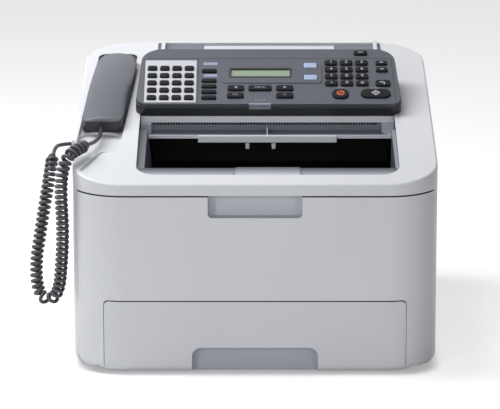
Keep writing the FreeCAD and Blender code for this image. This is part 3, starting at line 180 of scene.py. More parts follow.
HOUSING = plastic("housing_plastic", linear(214, 216, 221), 0.32, vary=0.018, gloss=0.32)
# Painted shade in the seams round the front cover, the rim and the drawer
SEAM_SHADE = painted_seam_shade("painted_seam_shade", linear(212, 214, 219))
DRAWER = plastic("drawer_plastic", linear(210, 212, 218), 0.34, vary=0.018, gloss=0.32)
# Painted shade in the grip recesses of the front cover and the drawer
GRIP_SHADED = plastic("grip_painted_shade", linear(190, 193, 200), 0.46, vary=0.02)
DRAWER_GRIP_SHADED = plastic("drawer_grip_painted_shade", linear(166, 170, 180), 0.46, vary=0.02)
TRAY_BOX = plastic("tray_box_plastic", linear(120, 123, 132), 0.5)
FRAME_DARK = plastic("frame_plastic", linear(82, 84, 90), 0.55, vary=0.06)
UNIT = plastic("unit_plastic", linear(46, 47, 51), 0.4, vary=0.06)
BAY_WALL = plastic("bay_wall_plastic", linear(64, 67, 76), 0.46, vary=0.03)
# Painted shade: the trough takes the dark look of its shade under the panel
TROUGH_SHADED = plastic("trough_painted_shade", linear(84, 87, 97), 0.5, vary=0.04)
LIP = plastic("lip_plastic", linear(208, 211, 219), 0.44, vary=0.02)
BAY = plastic("bay_plastic", linear(9, 9, 11), 0.5, vary=0.1, gloss=0.15)
SCANNER = plastic("scanner_plastic", linear(172, 176, 186), 0.48)
PANEL = plastic("panel_plastic", linear(72, 75, 85), 0.46, grain=1900, strength=0.2, vary=0.03)
PANEL_DARK = plastic("panel_body_plastic", linear(36, 37, 41), 0.36, vary=0.06, edge=0.002)
KEY = plastic(
    "key_plastic", linear(22, 22, 26), 0.5, grain=3200, strength=0.08, vary=0.06, edge=0.0, gloss=0.1
)
KEY_BLUE = plastic(
    "key_blue_plastic", linear(156, 172, 200), 0.35, grain=3200, strength=0.06, vary=0.03, edge=0.0
)
PLATE = plastic("plate_plastic", linear(188, 190, 196), 0.38, vary=0.02, edge=0.0004)
HANDSET = plastic(
    "handset_plastic", linear(85, 87, 97), 0.38, grain=2100, strength=0.16, vary=0.03, edge=0.0012
)
HANDSET_DARK = plastic(
    "handset_base_plastic", linear(44, 45, 50), 0.4, grain=2100, strength=0.14, vary=0.05
)
# Painted shade on the left side of the ledge, which faces away from the light, and painted light on the
# right side, which faces it
LEDGE_LEFT_SHADED = plastic("ledge_left_painted_shade", linear(100, 103, 112), 0.5, vary=0.03)
LEDGE_RIGHT_LIT = plastic("ledge_right_painted_light", linear(142, 146, 155), 0.5, vary=0.03)
TRAY_LIGHT = plastic("document_tray_plastic", linear(208, 210, 217), 0.45, vary=0.02)
TRAY_MID = plastic("document_support_plastic", linear(104, 108, 119), 0.45, vary=0.02)
SOCKET = plastic("socket_plastic", linear(26, 26, 29), 0.35, vary=0.08, edge=0.0005)
HOOK = plastic("hook_plastic", linear(110, 112, 120), 0.4)
CORD = plastic(
    "cord_plastic", linear(58, 58, 64), 0.34, grain=1500, strength=0.1, vary=0.06, edge=0.0, coat=0.15
)
RUBBER = plastic("rubber_foot", linear(28, 28, 29), 0.75, grain=1200, strength=0.35, vary=0.1)
ROLLER = plastic("roller_rubber", linear(62, 62, 65), 0.7, grain=1500, strength=0.3, vary=0.08)
STEEL = metal("sheet_steel", linear(176, 178, 182))
LEGEND = plastic("legend_ink", linear(186, 188, 194), 0.5, vary=0.02, edge=0.0)
LEGEND_DIM = plastic("legend_dim_ink", linear(146, 149, 158), 0.5, vary=0.02, edge=0.0)
LABEL_BLUE = plastic("label_blue_ink", linear(138, 148, 172), 0.45, vary=0.03, edge=0.0)
ORANGE = plastic("stop_ink", linear(222, 104, 48), 0.45, vary=0.03, edge=0.0)


def board_material():
    """Solder mask with copper traces running under it."""
    tree = Tree("circuit_board")
    wave = tree.add("ShaderNodeTexWave", wave_type="BANDS", bands_direction="Z")
    wave.inputs["Scale"].default_value = 60
    wave.inputs["Distortion"].default_value = 3.5
    tree.join(tree.place, wave.inputs["Vector"])
    tree.color(wave.outputs["Fac"], [(0.45, linear(18, 70, 44)), (0.6, linear(40, 108, 70))])
    tree.rough(tree.noise(60), 0.3, 0.45)
    tree.relief(wave.outputs["Fac"], 0.2, 0.0002, 0.0003)
    return tree.material


def display_material():
    """Liquid crystal glass: pale green with the faint grid of its character cells."""
    tree = Tree("display_glass")
    brick = tree.add("ShaderNodeTexBrick", offset=0.0)
    brick.inputs["Color1"].default_value = linear(132, 150, 128)
    brick.inputs["Color2"].default_value = linear(128, 146, 125)
    brick.inputs["Mortar"].default_value = linear(138, 156, 134)
    brick.inputs["Scale"].default_value = 1.0
    brick.inputs["Mortar Size"].default_value = 0.00035
    brick.inputs["Brick Width"].default_value = 0.0032
    brick.inputs["Row Height"].default_value = 0.006
    tree.join(tree.place, brick.inputs["Vector"])
    tree.join(brick.outputs["Color"], tree.shader.inputs["Base Color"])
    tree.rough(tree.noise(25), 0.14, 0.22)
    tree.shader.inputs["Coat Weight"].default_value = 0.4
    tree.shader.inputs["Coat Roughness"].default_value = 0.1
    return tree.material


def lens_material():
    """Smoked translucent plastic with moulded ribs."""
    tree = Tree("lens_plastic")
    wave = tree.add("ShaderNodeTexWave", wave_type="BANDS", bands_direction="X")
    wave.inputs["Scale"].default_value = 320
    tree.join(tree.place, wave.inputs["Vector"])
    tree.color(wave.outputs["Fac"], [(0.2, linear(122, 126, 138)), (0.8, linear(140, 144, 156))])
    tree.rough(tree.noise(60), 0.2, 0.3)
    tree.relief(wave.outputs["Fac"], 0.1, 0.0001, 0.0004)
    return tree.material


def clear_material():
    """Clear moulded plug."""
    tree = Tree("clear_plastic")
    tree.color(tree.noise(80), [(NOISE_LOW, linear(196, 200, 206)), (NOISE_HIGH, linear(214, 218, 222))])
    tree.rough(tree.noise(60), 0.1, 0.2)
    tree.shader.inputs["Transmission Weight"].default_value = 0.7
    return tree.material


LEDGE_FRONT = -0.1728
LEDGE_BACK = -0.1505


def ledge_shade_material():
    """Grey plastic with painted shade, darkening from the rim towards the bay."""
    tree = Tree("ledge_painted_shade")
    split = tree.add("ShaderNodeSeparateXYZ")
    tree.join(tree.place, split.inputs[0])
    depth = tree.add("ShaderNodeMapRange")
    depth.inputs["From Min"].default_value = LEDGE_FRONT
    depth.inputs["From Max"].default_value = LEDGE_BACK
    tree.join(split.outputs["Y"], depth.inputs["Value"])
    tree.color(depth.outputs["Result"], [
        (0.0, linear(194, 197, 204)), (0.3, linear(164, 168, 177)), (0.55, linear(128, 132, 142)),
        (0.8, linear(86, 89, 98)), (1.0, linear(44, 46, 53)),
    ])
    grain = tree.noise(2600)
    tree.rough(grain, 0.42, 0.5)
    tree.relief(grain, 0.1, 0.0002, 0.0006)
    return tree.material


LEDGE_PAINTED_SHADE = ledge_shade_material()
BOARD = board_material()
DISPLAY = display_material()
LENS = lens_material()
CLEAR = clear_material()
SENSOR = plastic("sensor_glass", linear(30, 33, 37), 0.12, grain=400, strength=0.02, vary=0.1, coat=0.5)

NODE_MATERIALS = {
    HOUSING: ["left_side_cover", "right_side_cover", "top_cover", "rear_cover", "front_cover", "rear_door",
              "document_guide_left", "document_guide_right"],
    # The output stopper takes the ledge's painted shade
    LEDGE_PAINTED_SHADE: ["output_stopper"],
    DRAWER: ["tray_front"],
    TRAY_BOX: ["paper_tray"],
    FRAME_DARK: ["base_frame"],
    RUBBER: ["rubber_feet"],
    BAY: ["output_tray"],
    UNIT: ["laser_unit", "fuser_unit", "toner_cartridge"],
    BOARD: ["circuit_boards"],
    SOCKET: ["ac_inlet", "line_jacks", "handset_jack", "power_switch"],
    SCANNER: ["scanner_frame"],
    SENSOR: ["image_sensor"],
    TRAY_MID: ["document_tray"],
    TRAY_LIGHT: ["document_support"],
    STEEL: ["lift_plate"],
    ROLLER: ["pickup_roller", "exit_roller", "feed_roller"],
    HANDSET: ["handset_shell"],
    HANDSET_DARK: ["handset_base"],
    HOOK: ["hook_switch"],
    PANEL_DARK: ["panel_body"],
    PANEL: ["panel_fascia"],
    PLATE: ["one_touch_plate"],
    DISPLAY: ["lcd_window"],
    LENS: ["status_lens"],
    CORD: ["handset_cord"],
    CLEAR: ["cord_plug"],
}
for material, names in NODE_MATERIALS.items():
    for name in names:
        slots = nodes[name].data.materials
        slots.clear()
        slots.append(material)


def paint(name, material, test):
    """Another material on the faces whose middle, in millimetres, and normal pass a test."""
    mesh = nodes[name].data
    mesh.materials.append(material)
    index = len(mesh.materials) - 1
    for face in mesh.polygons:
        if test(face.center / MM, face.normal):
            face.material_index = index


# The rim's slope, from the front edge up to the rear edge, in millimetres
FRONT = -195.0
FRONT_HEIGHT = 194.5
DEPTH = 390.0
REAR_RISE = 70.5
RIM_TILT = math.atan2(REAR_RISE, DEPTH)
RIM_NORMAL = Vector((0, -math.sin(RIM_TILT), math.cos(RIM_TILT)))
UPWARD = 0.9


def below_rim(c):
    """How far a point lies below the straight line from the front edge to the rear edge."""
    return -(c - Vector((0, FRONT, FRONT_HEIGHT))).dot(RIM_NORMAL)


# Faces of a node that differ in colour: walls of the bay, ledges of the bay with painted shade and painted
# light, the trough with painted shade, the lip, grips with painted shade in their recesses, and painted
# shade in the seams
WALL_X = (-119.0, 144.5)
WALL_Y = (-149.0, 66.5)
WALL_DROP = -3.5
LEDGE_X = (-118.5, 144.0)
LEDGE_Y = (-174.0, -43.0)
LEDGE_DROP = (1.2, 2.6)
LEDGE_INNER_X = (-110.5, 139.5)
FRONT_LEDGE_END = -150.0
TROUGH_X = (-106.3, 130.4)
TROUGH_Y = (-43.0, -26.4)
TROUGH_Z = (206.0, 218.0)
LIP_FRONT = -42.4
BAND_LOW = 220.5
BAND_BACK = -20.0
RIB_X = (12.05, 13.45)
RIB_Y = (-42.3, -27.5)
TRAY_EDGE_Y = 186.0
TRAY_MIDDLE_X = 16.0
TRAY_EDGE_X = 116.0
COVER_GRIP_HALF = 47.0
COVER_GRIP_Y = (-194.6, -182.0)
COVER_GRIP_LOW = 160.0
DRAWER_GRIP_HALF = 63.0
DRAWER_GRIP_Y = (-194.6, -184.0)
DRAWER_GRIP_HIGH = 28.5
FLAT = 0.8
COVER_TOP = 181.0
RIM_UNDERSIDE = (182.9, 183.1)
RIM_SEAM_BACK = -160.0
DRAWER_TOP = 74.0
DRAWER_SIDE = 149.4
OPENING_TOP = (75.0, 80.0)
OPENING_SIDE = (149.0, 151.0)


def inside(value, limits):
    return limits[0] < value < limits[1]


def on_bay_wall(c, n):
    steep = n.dot(RIM_NORMAL) < UPWARD and below_rim(c) > WALL_DROP
    return steep and inside(c.x, WALL_X) and inside(c.y, WALL_Y)


def on_ledge(c, n):
    """The step round the front and sides of the output bay."""
    flat = n.dot(RIM_NORMAL) > UPWARD and inside(below_rim(c), LEDGE_DROP)
    return flat and inside(c.x, LEDGE_X) and inside(c.y, LEDGE_Y)


def on_left_ledge(c, n):
    return on_ledge(c, n) and c.x < LEDGE_INNER_X[0] and c.y > FRONT_LEDGE_END


def on_right_ledge(c, n):
    return on_ledge(c, n) and c.x > LEDGE_INNER_X[1] and c.y > FRONT_LEDGE_END


def in_trough(c, n):
    return inside(c.x, TROUGH_X) and inside(c.y, TROUGH_Y) and inside(c.z, TROUGH_Z)


def on_lip(c, n):
    """The lip with its tab, the band over the slot and the rib in the trough."""
    band = c.z > BAND_LOW and c.y < BAND_BACK
    rib = inside(c.x, RIB_X) and inside(c.y, RIB_Y)
    return c.y < LIP_FRONT or band or rib


def on_tray_edge(c, n):
    return c.y > TRAY_EDGE_Y or abs(c.x - TRAY_MIDDLE_X) > TRAY_EDGE_X


def in_cover_grip(c, n):
    return abs(c.x) < COVER_GRIP_HALF and inside(c.y, COVER_GRIP_Y) and c.z > COVER_GRIP_LOW


def in_drawer_grip(c, n):
    return abs(c.x) < DRAWER_GRIP_HALF and inside(c.y, DRAWER_GRIP_Y) and c.z < DRAWER_GRIP_HIGH


def on_cover_edge(c, n):
    """The front cover's top edge and the edges round the drawer's opening."""
    top = n.z > FLAT and c.z > COVER_TOP
    over = n.z < -FLAT and inside(c.z, OPENING_TOP)
    beside = abs(n.x) > FLAT and inside(abs(c.x), OPENING_SIDE) and c.z < OPENING_TOP[1]
    return top or over or beside


def on_rim_underside(c, n):
    return n.z < -FLAT and inside(c.z, RIM_UNDERSIDE) and c.y < RIM_SEAM_BACK


def on_drawer_edge(c, n):
    top = n.z > FLAT and c.z > DRAWER_TOP
    side = abs(n.x) > FLAT and abs(c.x) > DRAWER_SIDE
    return top or side


paint("top_cover", BAY_WALL, on_bay_wall)
# Painted shade on the ledge round the bay, darker towards the bay
paint("top_cover", LEDGE_PAINTED_SHADE, on_ledge)
# Painted shade on the left ledge and painted light on the right ledge
paint("top_cover", LEDGE_LEFT_SHADED, on_left_ledge)
paint("top_cover", LEDGE_RIGHT_LIT, on_right_ledge)
# Painted shade in the trough under the panel
paint("scanner_frame", TROUGH_SHADED, in_trough)
paint("scanner_frame", LIP, on_lip)
paint("document_tray", TRAY_LIGHT, on_tray_edge)
# Painted shade in the recesses of the two grips
paint("front_cover", GRIP_SHADED, in_cover_grip)
paint("tray_front", DRAWER_GRIP_SHADED, in_drawer_grip)
# Painted shade in the seams: the plastic darkens where another piece lies close
paint("front_cover", SEAM_SHADE, on_cover_edge)
paint("top_cover", SEAM_SHADE, on_rim_underside)
paint("tray_front", SEAM_SHADE, on_drawer_edge)


# Ways to make pieces
def piece(name, mesh, material, body, smooth=True):
    """A finished mesh that moves with one body."""
    made = bpy.data.objects.new(name, mesh)
    bpy.context.scene.collection.objects.link(made)
    mesh.materials.clear()
    mesh.materials.append(material)
    if smooth:
        mesh.polygons.foreach_set("use_smooth", [True] * len(mesh.polygons))
    if body:
        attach(made, body)
    return made


def finish_mesh(name, work):
    bmesh.ops.recalc_face_normals(work, faces=work.faces[:])
    mesh = bpy.data.meshes.new(name)
    work.to_mesh(mesh)
    work.free()
    return mesh


def rounded_ring(width, depth, radius, steps=5):
    """Corner points of a rounded rectangle about the origin, counter-clockwise."""
    radius = min(radius, width / 2 - 1e-6, depth / 2 - 1e-6)
    points = []
    for quarter, (sx, sy) in enumerate(((1, 1), (-1, 1), (-1, -1), (1, -1))):
        cx = sx * (width / 2 - radius)
        cy = sy * (depth / 2 - radius)
        for k in range(steps + 1):
            angle = (quarter + k / steps) * math.pi / 2
            points.append((cx + radius * math.cos(angle), cy + radius * math.sin(angle)))
    return points


def join_rings(work, rings):
    """Faces between each ring of vertices and the next."""
    for low, high in zip(rings, rings[1:]):
        total = len(low)
        for k in range(total):
            work.faces.new((low[k], low[(k + 1) % total], high[(k + 1) % total], high[k]))


def stack(work, place, rings):
    """Join rings of points, given as (points, height), into a closed block."""
    loops = []
    for points, height in rings:
        loops.append([work.verts.new(place @ Vector((x, y, height))) for x, y in points])
    join_rings(work, loops)
    work.faces.new(list(reversed(loops[0])))
    work.faces.new(loops[-1])


# The sloping panel's own frame: across, up the slope and out of it
PANEL_FRONT = -35.0
PANEL_HEIGHT = 241.7
PANEL_TILT = math.radians(23.5)


def on_panel(u, v, w=0.0):
    """A place on the panel in millimetres, as a matrix whose Z stands out of it."""
    c, s = math.cos(PANEL_TILT), math.sin(PANEL_TILT)
    at = Vector((u, PANEL_FRONT + v * c - w * s, PANEL_HEIGHT + v * s + w * c)) * MM
    turn = Matrix(((1, 0, 0), (0, c, -s), (0, s, c))).to_4x4()
    return Matrix.Translation(at) @ turn


KEY_DEPTH = 2.2
KEY_TOP = 2.14
KEY_SHOULDER = ((0.0, 1.15), (0.16, 1.62), (0.5, 1.9), (1.1, 2.05), (2.0, KEY_TOP))
LEAST_CORNER = 0.4


def key_form(work, key, radius):
    """A key with a rounded shoulder and a slightly crowned top."""
    u, v, width, depth = key
    rings = [(rounded_ring(width * MM, depth * MM, radius * MM), -KEY_DEPTH * MM)]
    for inset, height in KEY_SHOULDER:
        wide = (width - 2 * inset) * MM
        deep = (depth - 2 * inset) * MM
        rings.append((rounded_ring(wide, deep, max(radius - inset, LEAST_CORNER) * MM), height * MM))
    stack(work, on_panel(u, v), rings)


def legend_mesh(words, size, place, height=0.06):
    """Printed lettering as a thin mesh."""
    curve = bpy.data.curves.new("words", "FONT")
    curve.body = words
    curve.size = size * MM
    curve.align_x = "CENTER"
    curve.align_y = "CENTER"
    curve.extrude = height * MM / 2
    curve.resolution_u = 3
    holder = bpy.data.objects.new("words", curve)
    bpy.context.scene.collection.objects.link(holder)
    bpy.context.view_layer.update()
    mesh = bpy.data.meshes.new_from_object(holder.evaluated_get(bpy.context.evaluated_depsgraph_get()))
    bpy.data.objects.remove(holder)
    bpy.data.curves.remove(curve)
    mesh.transform(place)
    return mesh


INK_LOW = -0.02
INK_HIGH = 0.06


def flat_form(work, place, points, low=INK_LOW, high=INK_HIGH):
    """A thin printed shape from a closed ring of points in millimetres."""
    scaled = [(x * MM, y * MM) for x, y in points]
    stack(work, place, [(scaled, low * MM), (scaled, high * MM)])


def bar_points(x0, y0, x1, y1):
    return [(x0, y0), (x1, y0), (x1, y1), (x0, y1)]


def add_mesh(work, mesh):
    work.from_mesh(mesh)
    bpy.data.meshes.remove(mesh)


# Curly cord: a helix round the route's spline
CORD_ROUTE = [
    (-156.0, -66.8, 224.7),
    (-156.6, -76.5, 221.3),
    (-157.6, -92.0, 218.9),
    (-161.0, -108.0, 218.3),
    (-166.5, -124.0, 219.5),
    (-175.0, -142.0, 219.5),
    (-186.0, -156.0, 214.5),
    (-192.0, -160.0, 197.0),
    (-193.0, -158.0, 172.0),
    (-191.8, -154.0, 146.0),
    (-192.5, -151.0, 120.0),
    (-194.5, -147.5, 96.0),
    (-196.5, -144.5, 77.0),
    (-203.0, -141.0, 63.5),
    (-214.0, -137.0, 63.0),
    (-220.0, -134.0, 76.0),
    (-220.5, -130.5, 102.0),
    (-216.0, -124.0, 130.0),
    (-211.5, -116.0, 158.0),
    (-207.5, -107.0, 182.0),
    (-205.0, -95.0, 199.0),
    (-203.0, -78.0, 206.5),
    (-198.0, -63.0, 206.0),
    (-187.6, -60.0, 206.0),
]
WIRE = 4.0 * MM
COIL_RADIUS = 4.75 * MM
COIL_PITCH = 5.6 * MM
CURL_START = 62 * MM
CURL_END = 36 * MM
CURL_RAMP = 9 * MM
LEAST_GAP = 0.7 * MM
PITCH_SPARE = 1.02
WALK = 0.25 * MM
WALK_REACH = 12
LEAST_STEP = 1.25 * MM
TUBE_SIDES = 10


def route_line(route):
    """Points along the route's smooth spline."""
    curve = bpy.data.curves.new("route", "CURVE")
    curve.dimensions = "3D"
    spline = curve.splines.new("NURBS")
    spline.points.add(len(route) - 1)
    for point, place in zip(spline.points, route):
        point.co = [n * MM for n in place] + [1.0]
    spline.order_u = 3
    spline.use_endpoint_u = True
    spline.resolution_u = 48
    holder = bpy.data.objects.new("route", curve)
    bpy.context.scene.collection.objects.link(holder)
    bpy.context.view_layer.update()
    mesh = bpy.data.meshes.new_from_object(holder.evaluated_get(bpy.context.evaluated_depsgraph_get()))
    line = [v.co.copy() for v in mesh.vertices]
    bpy.data.objects.remove(holder)
    bpy.data.curves.remove(curve)
    bpy.data.meshes.remove(mesh)
    return line


def even_steps(line, step):
    """The same line at equal steps, as (distance, point)."""
    marks = [0.0]
    for a, b in zip(line, line[1:]):
        marks.append(marks[-1] + (b - a).length)
    total = int(marks[-1] / step)
    out = []
    k = 0
    for n in range(total + 1):
        where = n * marks[-1] / total
        while k < len(line) - 2 and marks[k + 1] < where:
            k += 1
        share = (where - marks[k]) / max(marks[k + 1] - marks[k], 1e-12)
        out.append((where, line[k].lerp(line[k + 1], min(max(share, 0.0), 1.0))))
    return out


def smooth_step(t):
    t = min(max(t, 0.0), 1.0)
    return t * t * (3 - 2 * t)


def curl(line):
    """The wire's own points: plain at both ends and wound in between."""
    walk = even_steps(line, WALK)
    total = walk[-1][0]
    side = Vector((1, 0, 0))
    turns = 0.0
    wire = []
    for k, (where, point) in enumerate(walk):
        before = walk[max(k - WALK_REACH, 0)][1]
        after = walk[min(k + WALK_REACH, len(walk) - 1)][1]
        ahead = (after - before).normalized()
        side = (side - ahead * side.dot(ahead)).normalized()
        first = point - before
        second = after - point
        bend = 0.0
        if first.length > 1e-9 and second.length > 1e-9:
            bend = COIL_RADIUS * first.angle(second) / ((first.length + second.length) / 2)
        pitch = max(COIL_PITCH, (WIRE + LEAST_GAP) / (1 - bend) * PITCH_SPARE)
        wound = CURL_START < where < total - CURL_END
        turns += WALK / pitch if wound else 0.0
        swell = smooth_step((where - CURL_START) / CURL_RAMP)
        swell *= smooth_step((total - CURL_END - where) / CURL_RAMP)
        angle = 2 * math.pi * turns
        out = side * math.cos(angle) + ahead.cross(side) * math.sin(angle)
        spot = point + out * (COIL_RADIUS * swell)
        if not wire or (spot - wire[-1]).length > LEAST_STEP or k == len(walk) - 1:
            wire.append(spot)
    return wire


def tube_mesh(name, path, radius, sides):
    """A round tube along a path, closed at both ends."""
    work = bmesh.new()
    side = Vector((0, 0, 1))
    loops = []
    for k, point in enumerate(path):
        ahead = (path[min(k + 1, len(path) - 1)] - path[max(k - 1, 0)]).normalized()
        side = side - ahead * side.dot(ahead)
        if side.length < 1e-6:
            side = ahead.orthogonal()
        side.normalize()
        other = ahead.cross(side)
        turns = [2 * math.pi * n / sides for n in range(sides)]
        spots = [point + side * (radius * math.cos(t)) + other * (radius * math.sin(t)) for t in turns]
        loops.append([work.verts.new(spot) for spot in spots])
    join_rings(work, loops)
    work.faces.new(list(reversed(loops[0])))
    work.faces.new(loops[-1])
    return finish_mesh(name, work)


route = route_line(CORD_ROUTE)
wire_path = curl(route)
cord_mesh = tube_mesh("curly_cord", wire_path, WIRE / 2, TUBE_SIDES)
curly_cord = piece("curly_cord", cord_mesh, CORD, None)
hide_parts("handset_cord")
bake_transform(curly_cord)

# Keys with crowned tops
NUMBER_ROWS = [
    ("key_star", "key_0", "key_hash"),
    ("key_7", "key_8", "key_9"),
    ("key_4", "key_5", "key_6"),
    ("key_1", "key_2", "key_3"),
]
NUMBER_AT = (79.5, 36.9)
NUMBER_PITCH = (16, 12.5)
NUMBER_SIZE = (12.4, 8.4)
ONE_TOUCH_AT = (-106.6, 11.2)
ONE_TOUCH_PITCH = (12.8, 13.25)
ONE_TOUCH_SIZE = (9.4, 7.4)


def in_grid(column, row, start, pitch, size):
    """One key of a regular field: its middle and its two sizes."""
    return (start[0] + pitch[0] * column, start[1] + pitch[1] * row) + size


KEY_SETS = {
    "function_keys": [(-47.5, v, 15, 5.6) for v in (59.6, 41.9, 31.6, 21.5, 11.3)],
    "navigation_keys": [
        (-19.6, 28.2, 16.3, 8.6), (5.4, 28.2, 23.4, 8.6), (30.8, 28.2, 17, 8.6),
        (-20.1, 15.1, 16.3, 8.6), (30.8, 15.1, 17, 8.6),
    ],
    "menu_keys": [(58.0, 68.8, 13.9, 8.6), (58.0, 47.0, 13.9, 8.6)],
    "line_keys": [(132.3, 73.9, 11.5, 7), (132.5, 61.4, 11.5, 7), (132.8, 36.9, 14.5, 10)],
    "toner_key": [(111.0, 92.6, 13.5, 7.4)],
    "stop_key": [(88.4, 17.9, 16.6, 16.6)],
    "start_key": [(124.7, 18.4, 30.4, 15)],
    "one_touch_keys": [
        in_grid(c, r, ONE_TOUCH_AT, ONE_TOUCH_PITCH, ONE_TOUCH_SIZE) for r in range(5) for c in range(4)
    ],
}
for r, row in enumerate(NUMBER_ROWS):
    for c, name in enumerate(row):
        KEY_SETS[name] = [in_grid(c, r, NUMBER_AT, NUMBER_PITCH, NUMBER_SIZE)]
ROUND_KEYS = ("stop_key", "start_key")
ROUND_CORNER = 7
SQUARE_CORNER = 1.6
for name, keys in KEY_SETS.items():
    work = bmesh.new()
    for key in keys:
        key_form(work, key, ROUND_CORNER if name in ROUND_KEYS else SQUARE_CORNER)
    blue = name == "menu_keys"
    caps = piece(
        name.replace("_keys", "").replace("_key", "") + "_caps", finish_mesh(name, work),
        KEY_BLUE if blue else KEY, name,
    )
    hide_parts(name)


# Legends on the keys
def ring_points(radius, count, start):
    """Corners of a regular shape, in millimetres."""
    angles = [start + 2 * math.pi * k / count for k in range(count)]
    return [(radius * math.cos(angle), radius * math.sin(angle)) for angle in angles]


def hoop(work, place, profile):
    """A closed band through rings of equal counts, given as (points, height) in millimetres."""
    rings = []
    for points, w in profile:
        rings.append([work.verts.new(place @ (Vector((x, y, w)) * MM)) for x, y in points])
    join_rings(work, rings + rings[:1])


def outline_form(work, place, outer, inner):
    """A thin printed band between two rings."""
    hoop(work, place, ((outer, INK_LOW), (outer, INK_HIGH), (inner, INK_HIGH), (inner, INK_LOW)))


def small_piece(name, body, build, material=LEGEND):
    """A piece whose shape one function builds, with flat faces."""
    work = bmesh.new()
    build(work)
    piece(name, finish_mesh(name, work), material, body, smooth=False)


SIGNS = {"key_star": "*", "key_hash": "#"}
DIGIT_SIZE = 6.0
STAR_DROP = -1.0
for row in NUMBER_ROWS:
    for name in row:
        key = KEY_SETS[name][0]
        sign = SIGNS.get(name, name[-1])

        def digit(work, key=key, sign=sign):
            drop = STAR_DROP if sign == "*" else 0.0
            add_mesh(work, legend_mesh(sign, DIGIT_SIZE, on_panel(key[0], key[1] + drop, KEY_TOP)))

        small_piece("digit_" + name[4:], name, digit)


def stop_sign(work):
    u, v = KEY_SETS["stop_key"][0][:2]
    place = on_panel(u, v, KEY_TOP)
    eight = ring_points(4.3, 8, math.pi / 8)
    outline_form(work, place, eight, [(x * 0.72, y * 0.72) for x, y in eight])
    slash = place @ Matrix.Rotation(math.radians(45), 4, "Z")
    flat_form(work, slash, bar_points(-3.4, -0.5, 3.4, 0.5))


def start_sign(work):
    u, v = KEY_SETS["start_key"][0][:2]
    place = on_panel(u, v, KEY_TOP)
    diamond = [(4.6, 0), (0, 4.6), (-4.6, 0), (0, -4.6)]
    outline_form(work, place, diamond, [(x * 0.7, y * 0.7) for x, y in diamond])
    flat_form(work, place, [(1.5, 0), (0, 1.5), (-1.5, 0), (0, -1.5)])


def handset_sign(work):
    u, v = KEY_SETS["line_keys"][2][:2]
    place = on_panel(u, v, KEY_TOP) @ Matrix.Rotation(math.radians(-35), 4, "Z")
    arch = [(2.6 * math.cos(a), 2.2 * math.sin(a) - 0.9) for a in [math.pi * k / 10 for k in range(11)]]
    inner = [(x * 0.62, (y + 0.9) * 0.55 - 0.9) for x, y in arch]
    flat_form(work, place, arch + inner[::-1])
    flat_form(work, place, bar_points(-3.3, -1.8, -1.2, -0.7))
    flat_form(work, place, bar_points(1.2, -1.8, 3.3, -0.7))
    for key in KEY_SETS["line_keys"][:2]:
        flat_form(work, on_panel(key[0], key[1], KEY_TOP), bar_points(-1.9, -0.6, 1.9, 0.6))


def arrow_signs(work):
    sets = KEY_SETS["navigation_keys"]
    for key, way in ((sets[0], -1), (sets[2], 1)):
        place = on_panel(key[0], key[1], KEY_TOP)
        tip = [(2.2 * way, 0), (-1.3 * way, 2.0), (-1.3 * way, -2.0)]
        flat_form(work, place, tip if way > 0 else tip[::-1])
    for key, words in ((sets[1], "MENU"), (sets[3], "OK"), (sets[4], "C")):
        add_mesh(work, legend_mesh(words, 4.2, on_panel(key[0], key[1], KEY_TOP)))


def toner_sign(work):
    u, v = KEY_SETS["toner_key"][0][:2]
    flat_form(work, on_panel(u, v, KEY_TOP), bar_points(-2.6, -0.7, 2.6, 0.7))


small_piece("stop_sign", "stop_key", stop_sign, ORANGE)
small_piece("start_sign", "start_key", start_sign)
small_piece("line_signs", "line_keys", handset_sign)
small_piece("navigation_signs", "navigation_keys", arrow_signs, LEGEND_DIM)
small_piece("toner_sign", "toner_key", toner_sign, LEGEND_DIM)


# Printing on the panel
def panel_print(work):
    for v, width in ((73.8, 15), (52.3, 14)):
        flat_form(work, on_panel(-46.2, v), rounded_ring(width, 4.6, 1.0))


def panel_words(work):
    for u, v, words, size in (
        (88.4, 29.6, "STOP", 3.4), (124.7, 29.6, "START", 3.4), (5.4, 8.0, "STATUS", 3.0),
    ):
        add_mesh(work, legend_mesh(words, size, on_panel(u, v, 0.05)))
    for key in KEY_SETS["one_touch_keys"]:
        flat_form(work, on_panel(key[0], key[1] + 5.7, 0.2), bar_points(-3.2, -0.35, 3.2, 0.35))


small_piece("label_patches", "panel", panel_print, LABEL_BLUE)
small_piece("panel_words", "panel", panel_words, LEGEND_DIM)


def groove_lines(work):
    """The dark inlay line round the key field and the separator beside the one-touch plate."""
    def strip(u0, v0, u1, v1, half=0.45):
        length = math.hypot(u1 - u0, v1 - v0)
        turn = Matrix.Rotation(math.atan2(v1 - v0, u1 - u0), 4, "Z")
        place = on_panel((u0 + u1) / 2, (v0 + v1) / 2) @ turn
        flat_form(work, place, bar_points(-length / 2, -half, length / 2, half), high=0.05)

    strip(-113.5, 83.6, 142.8, 83.6)
    strip(142.8, 83.6, 145.1, 6.2)
    strip(-59.0, 3.2, -59.0, 83.6)
    strip(47.2, 40.0, 47.2, 73.0)


small_piece("inlay_lines", "panel", groove_lines, PANEL_DARK)


DISPLAY_AT = (5.8, 56.25)


def display_bezel(work):
    """The raised frame round the display window, with its inner wall down to the glass."""
    outer = rounded_ring(65.6, 18.1, 2.0)
    inner = rounded_ring(60.8, 13.3, 0.8)
    hoop(work, on_panel(*DISPLAY_AT), ((outer, 0.7), (outer, 1.0), (inner, 1.0), (inner, -0.4)))


small_piece("display_bezel", "panel", display_bezel, SOCKET)


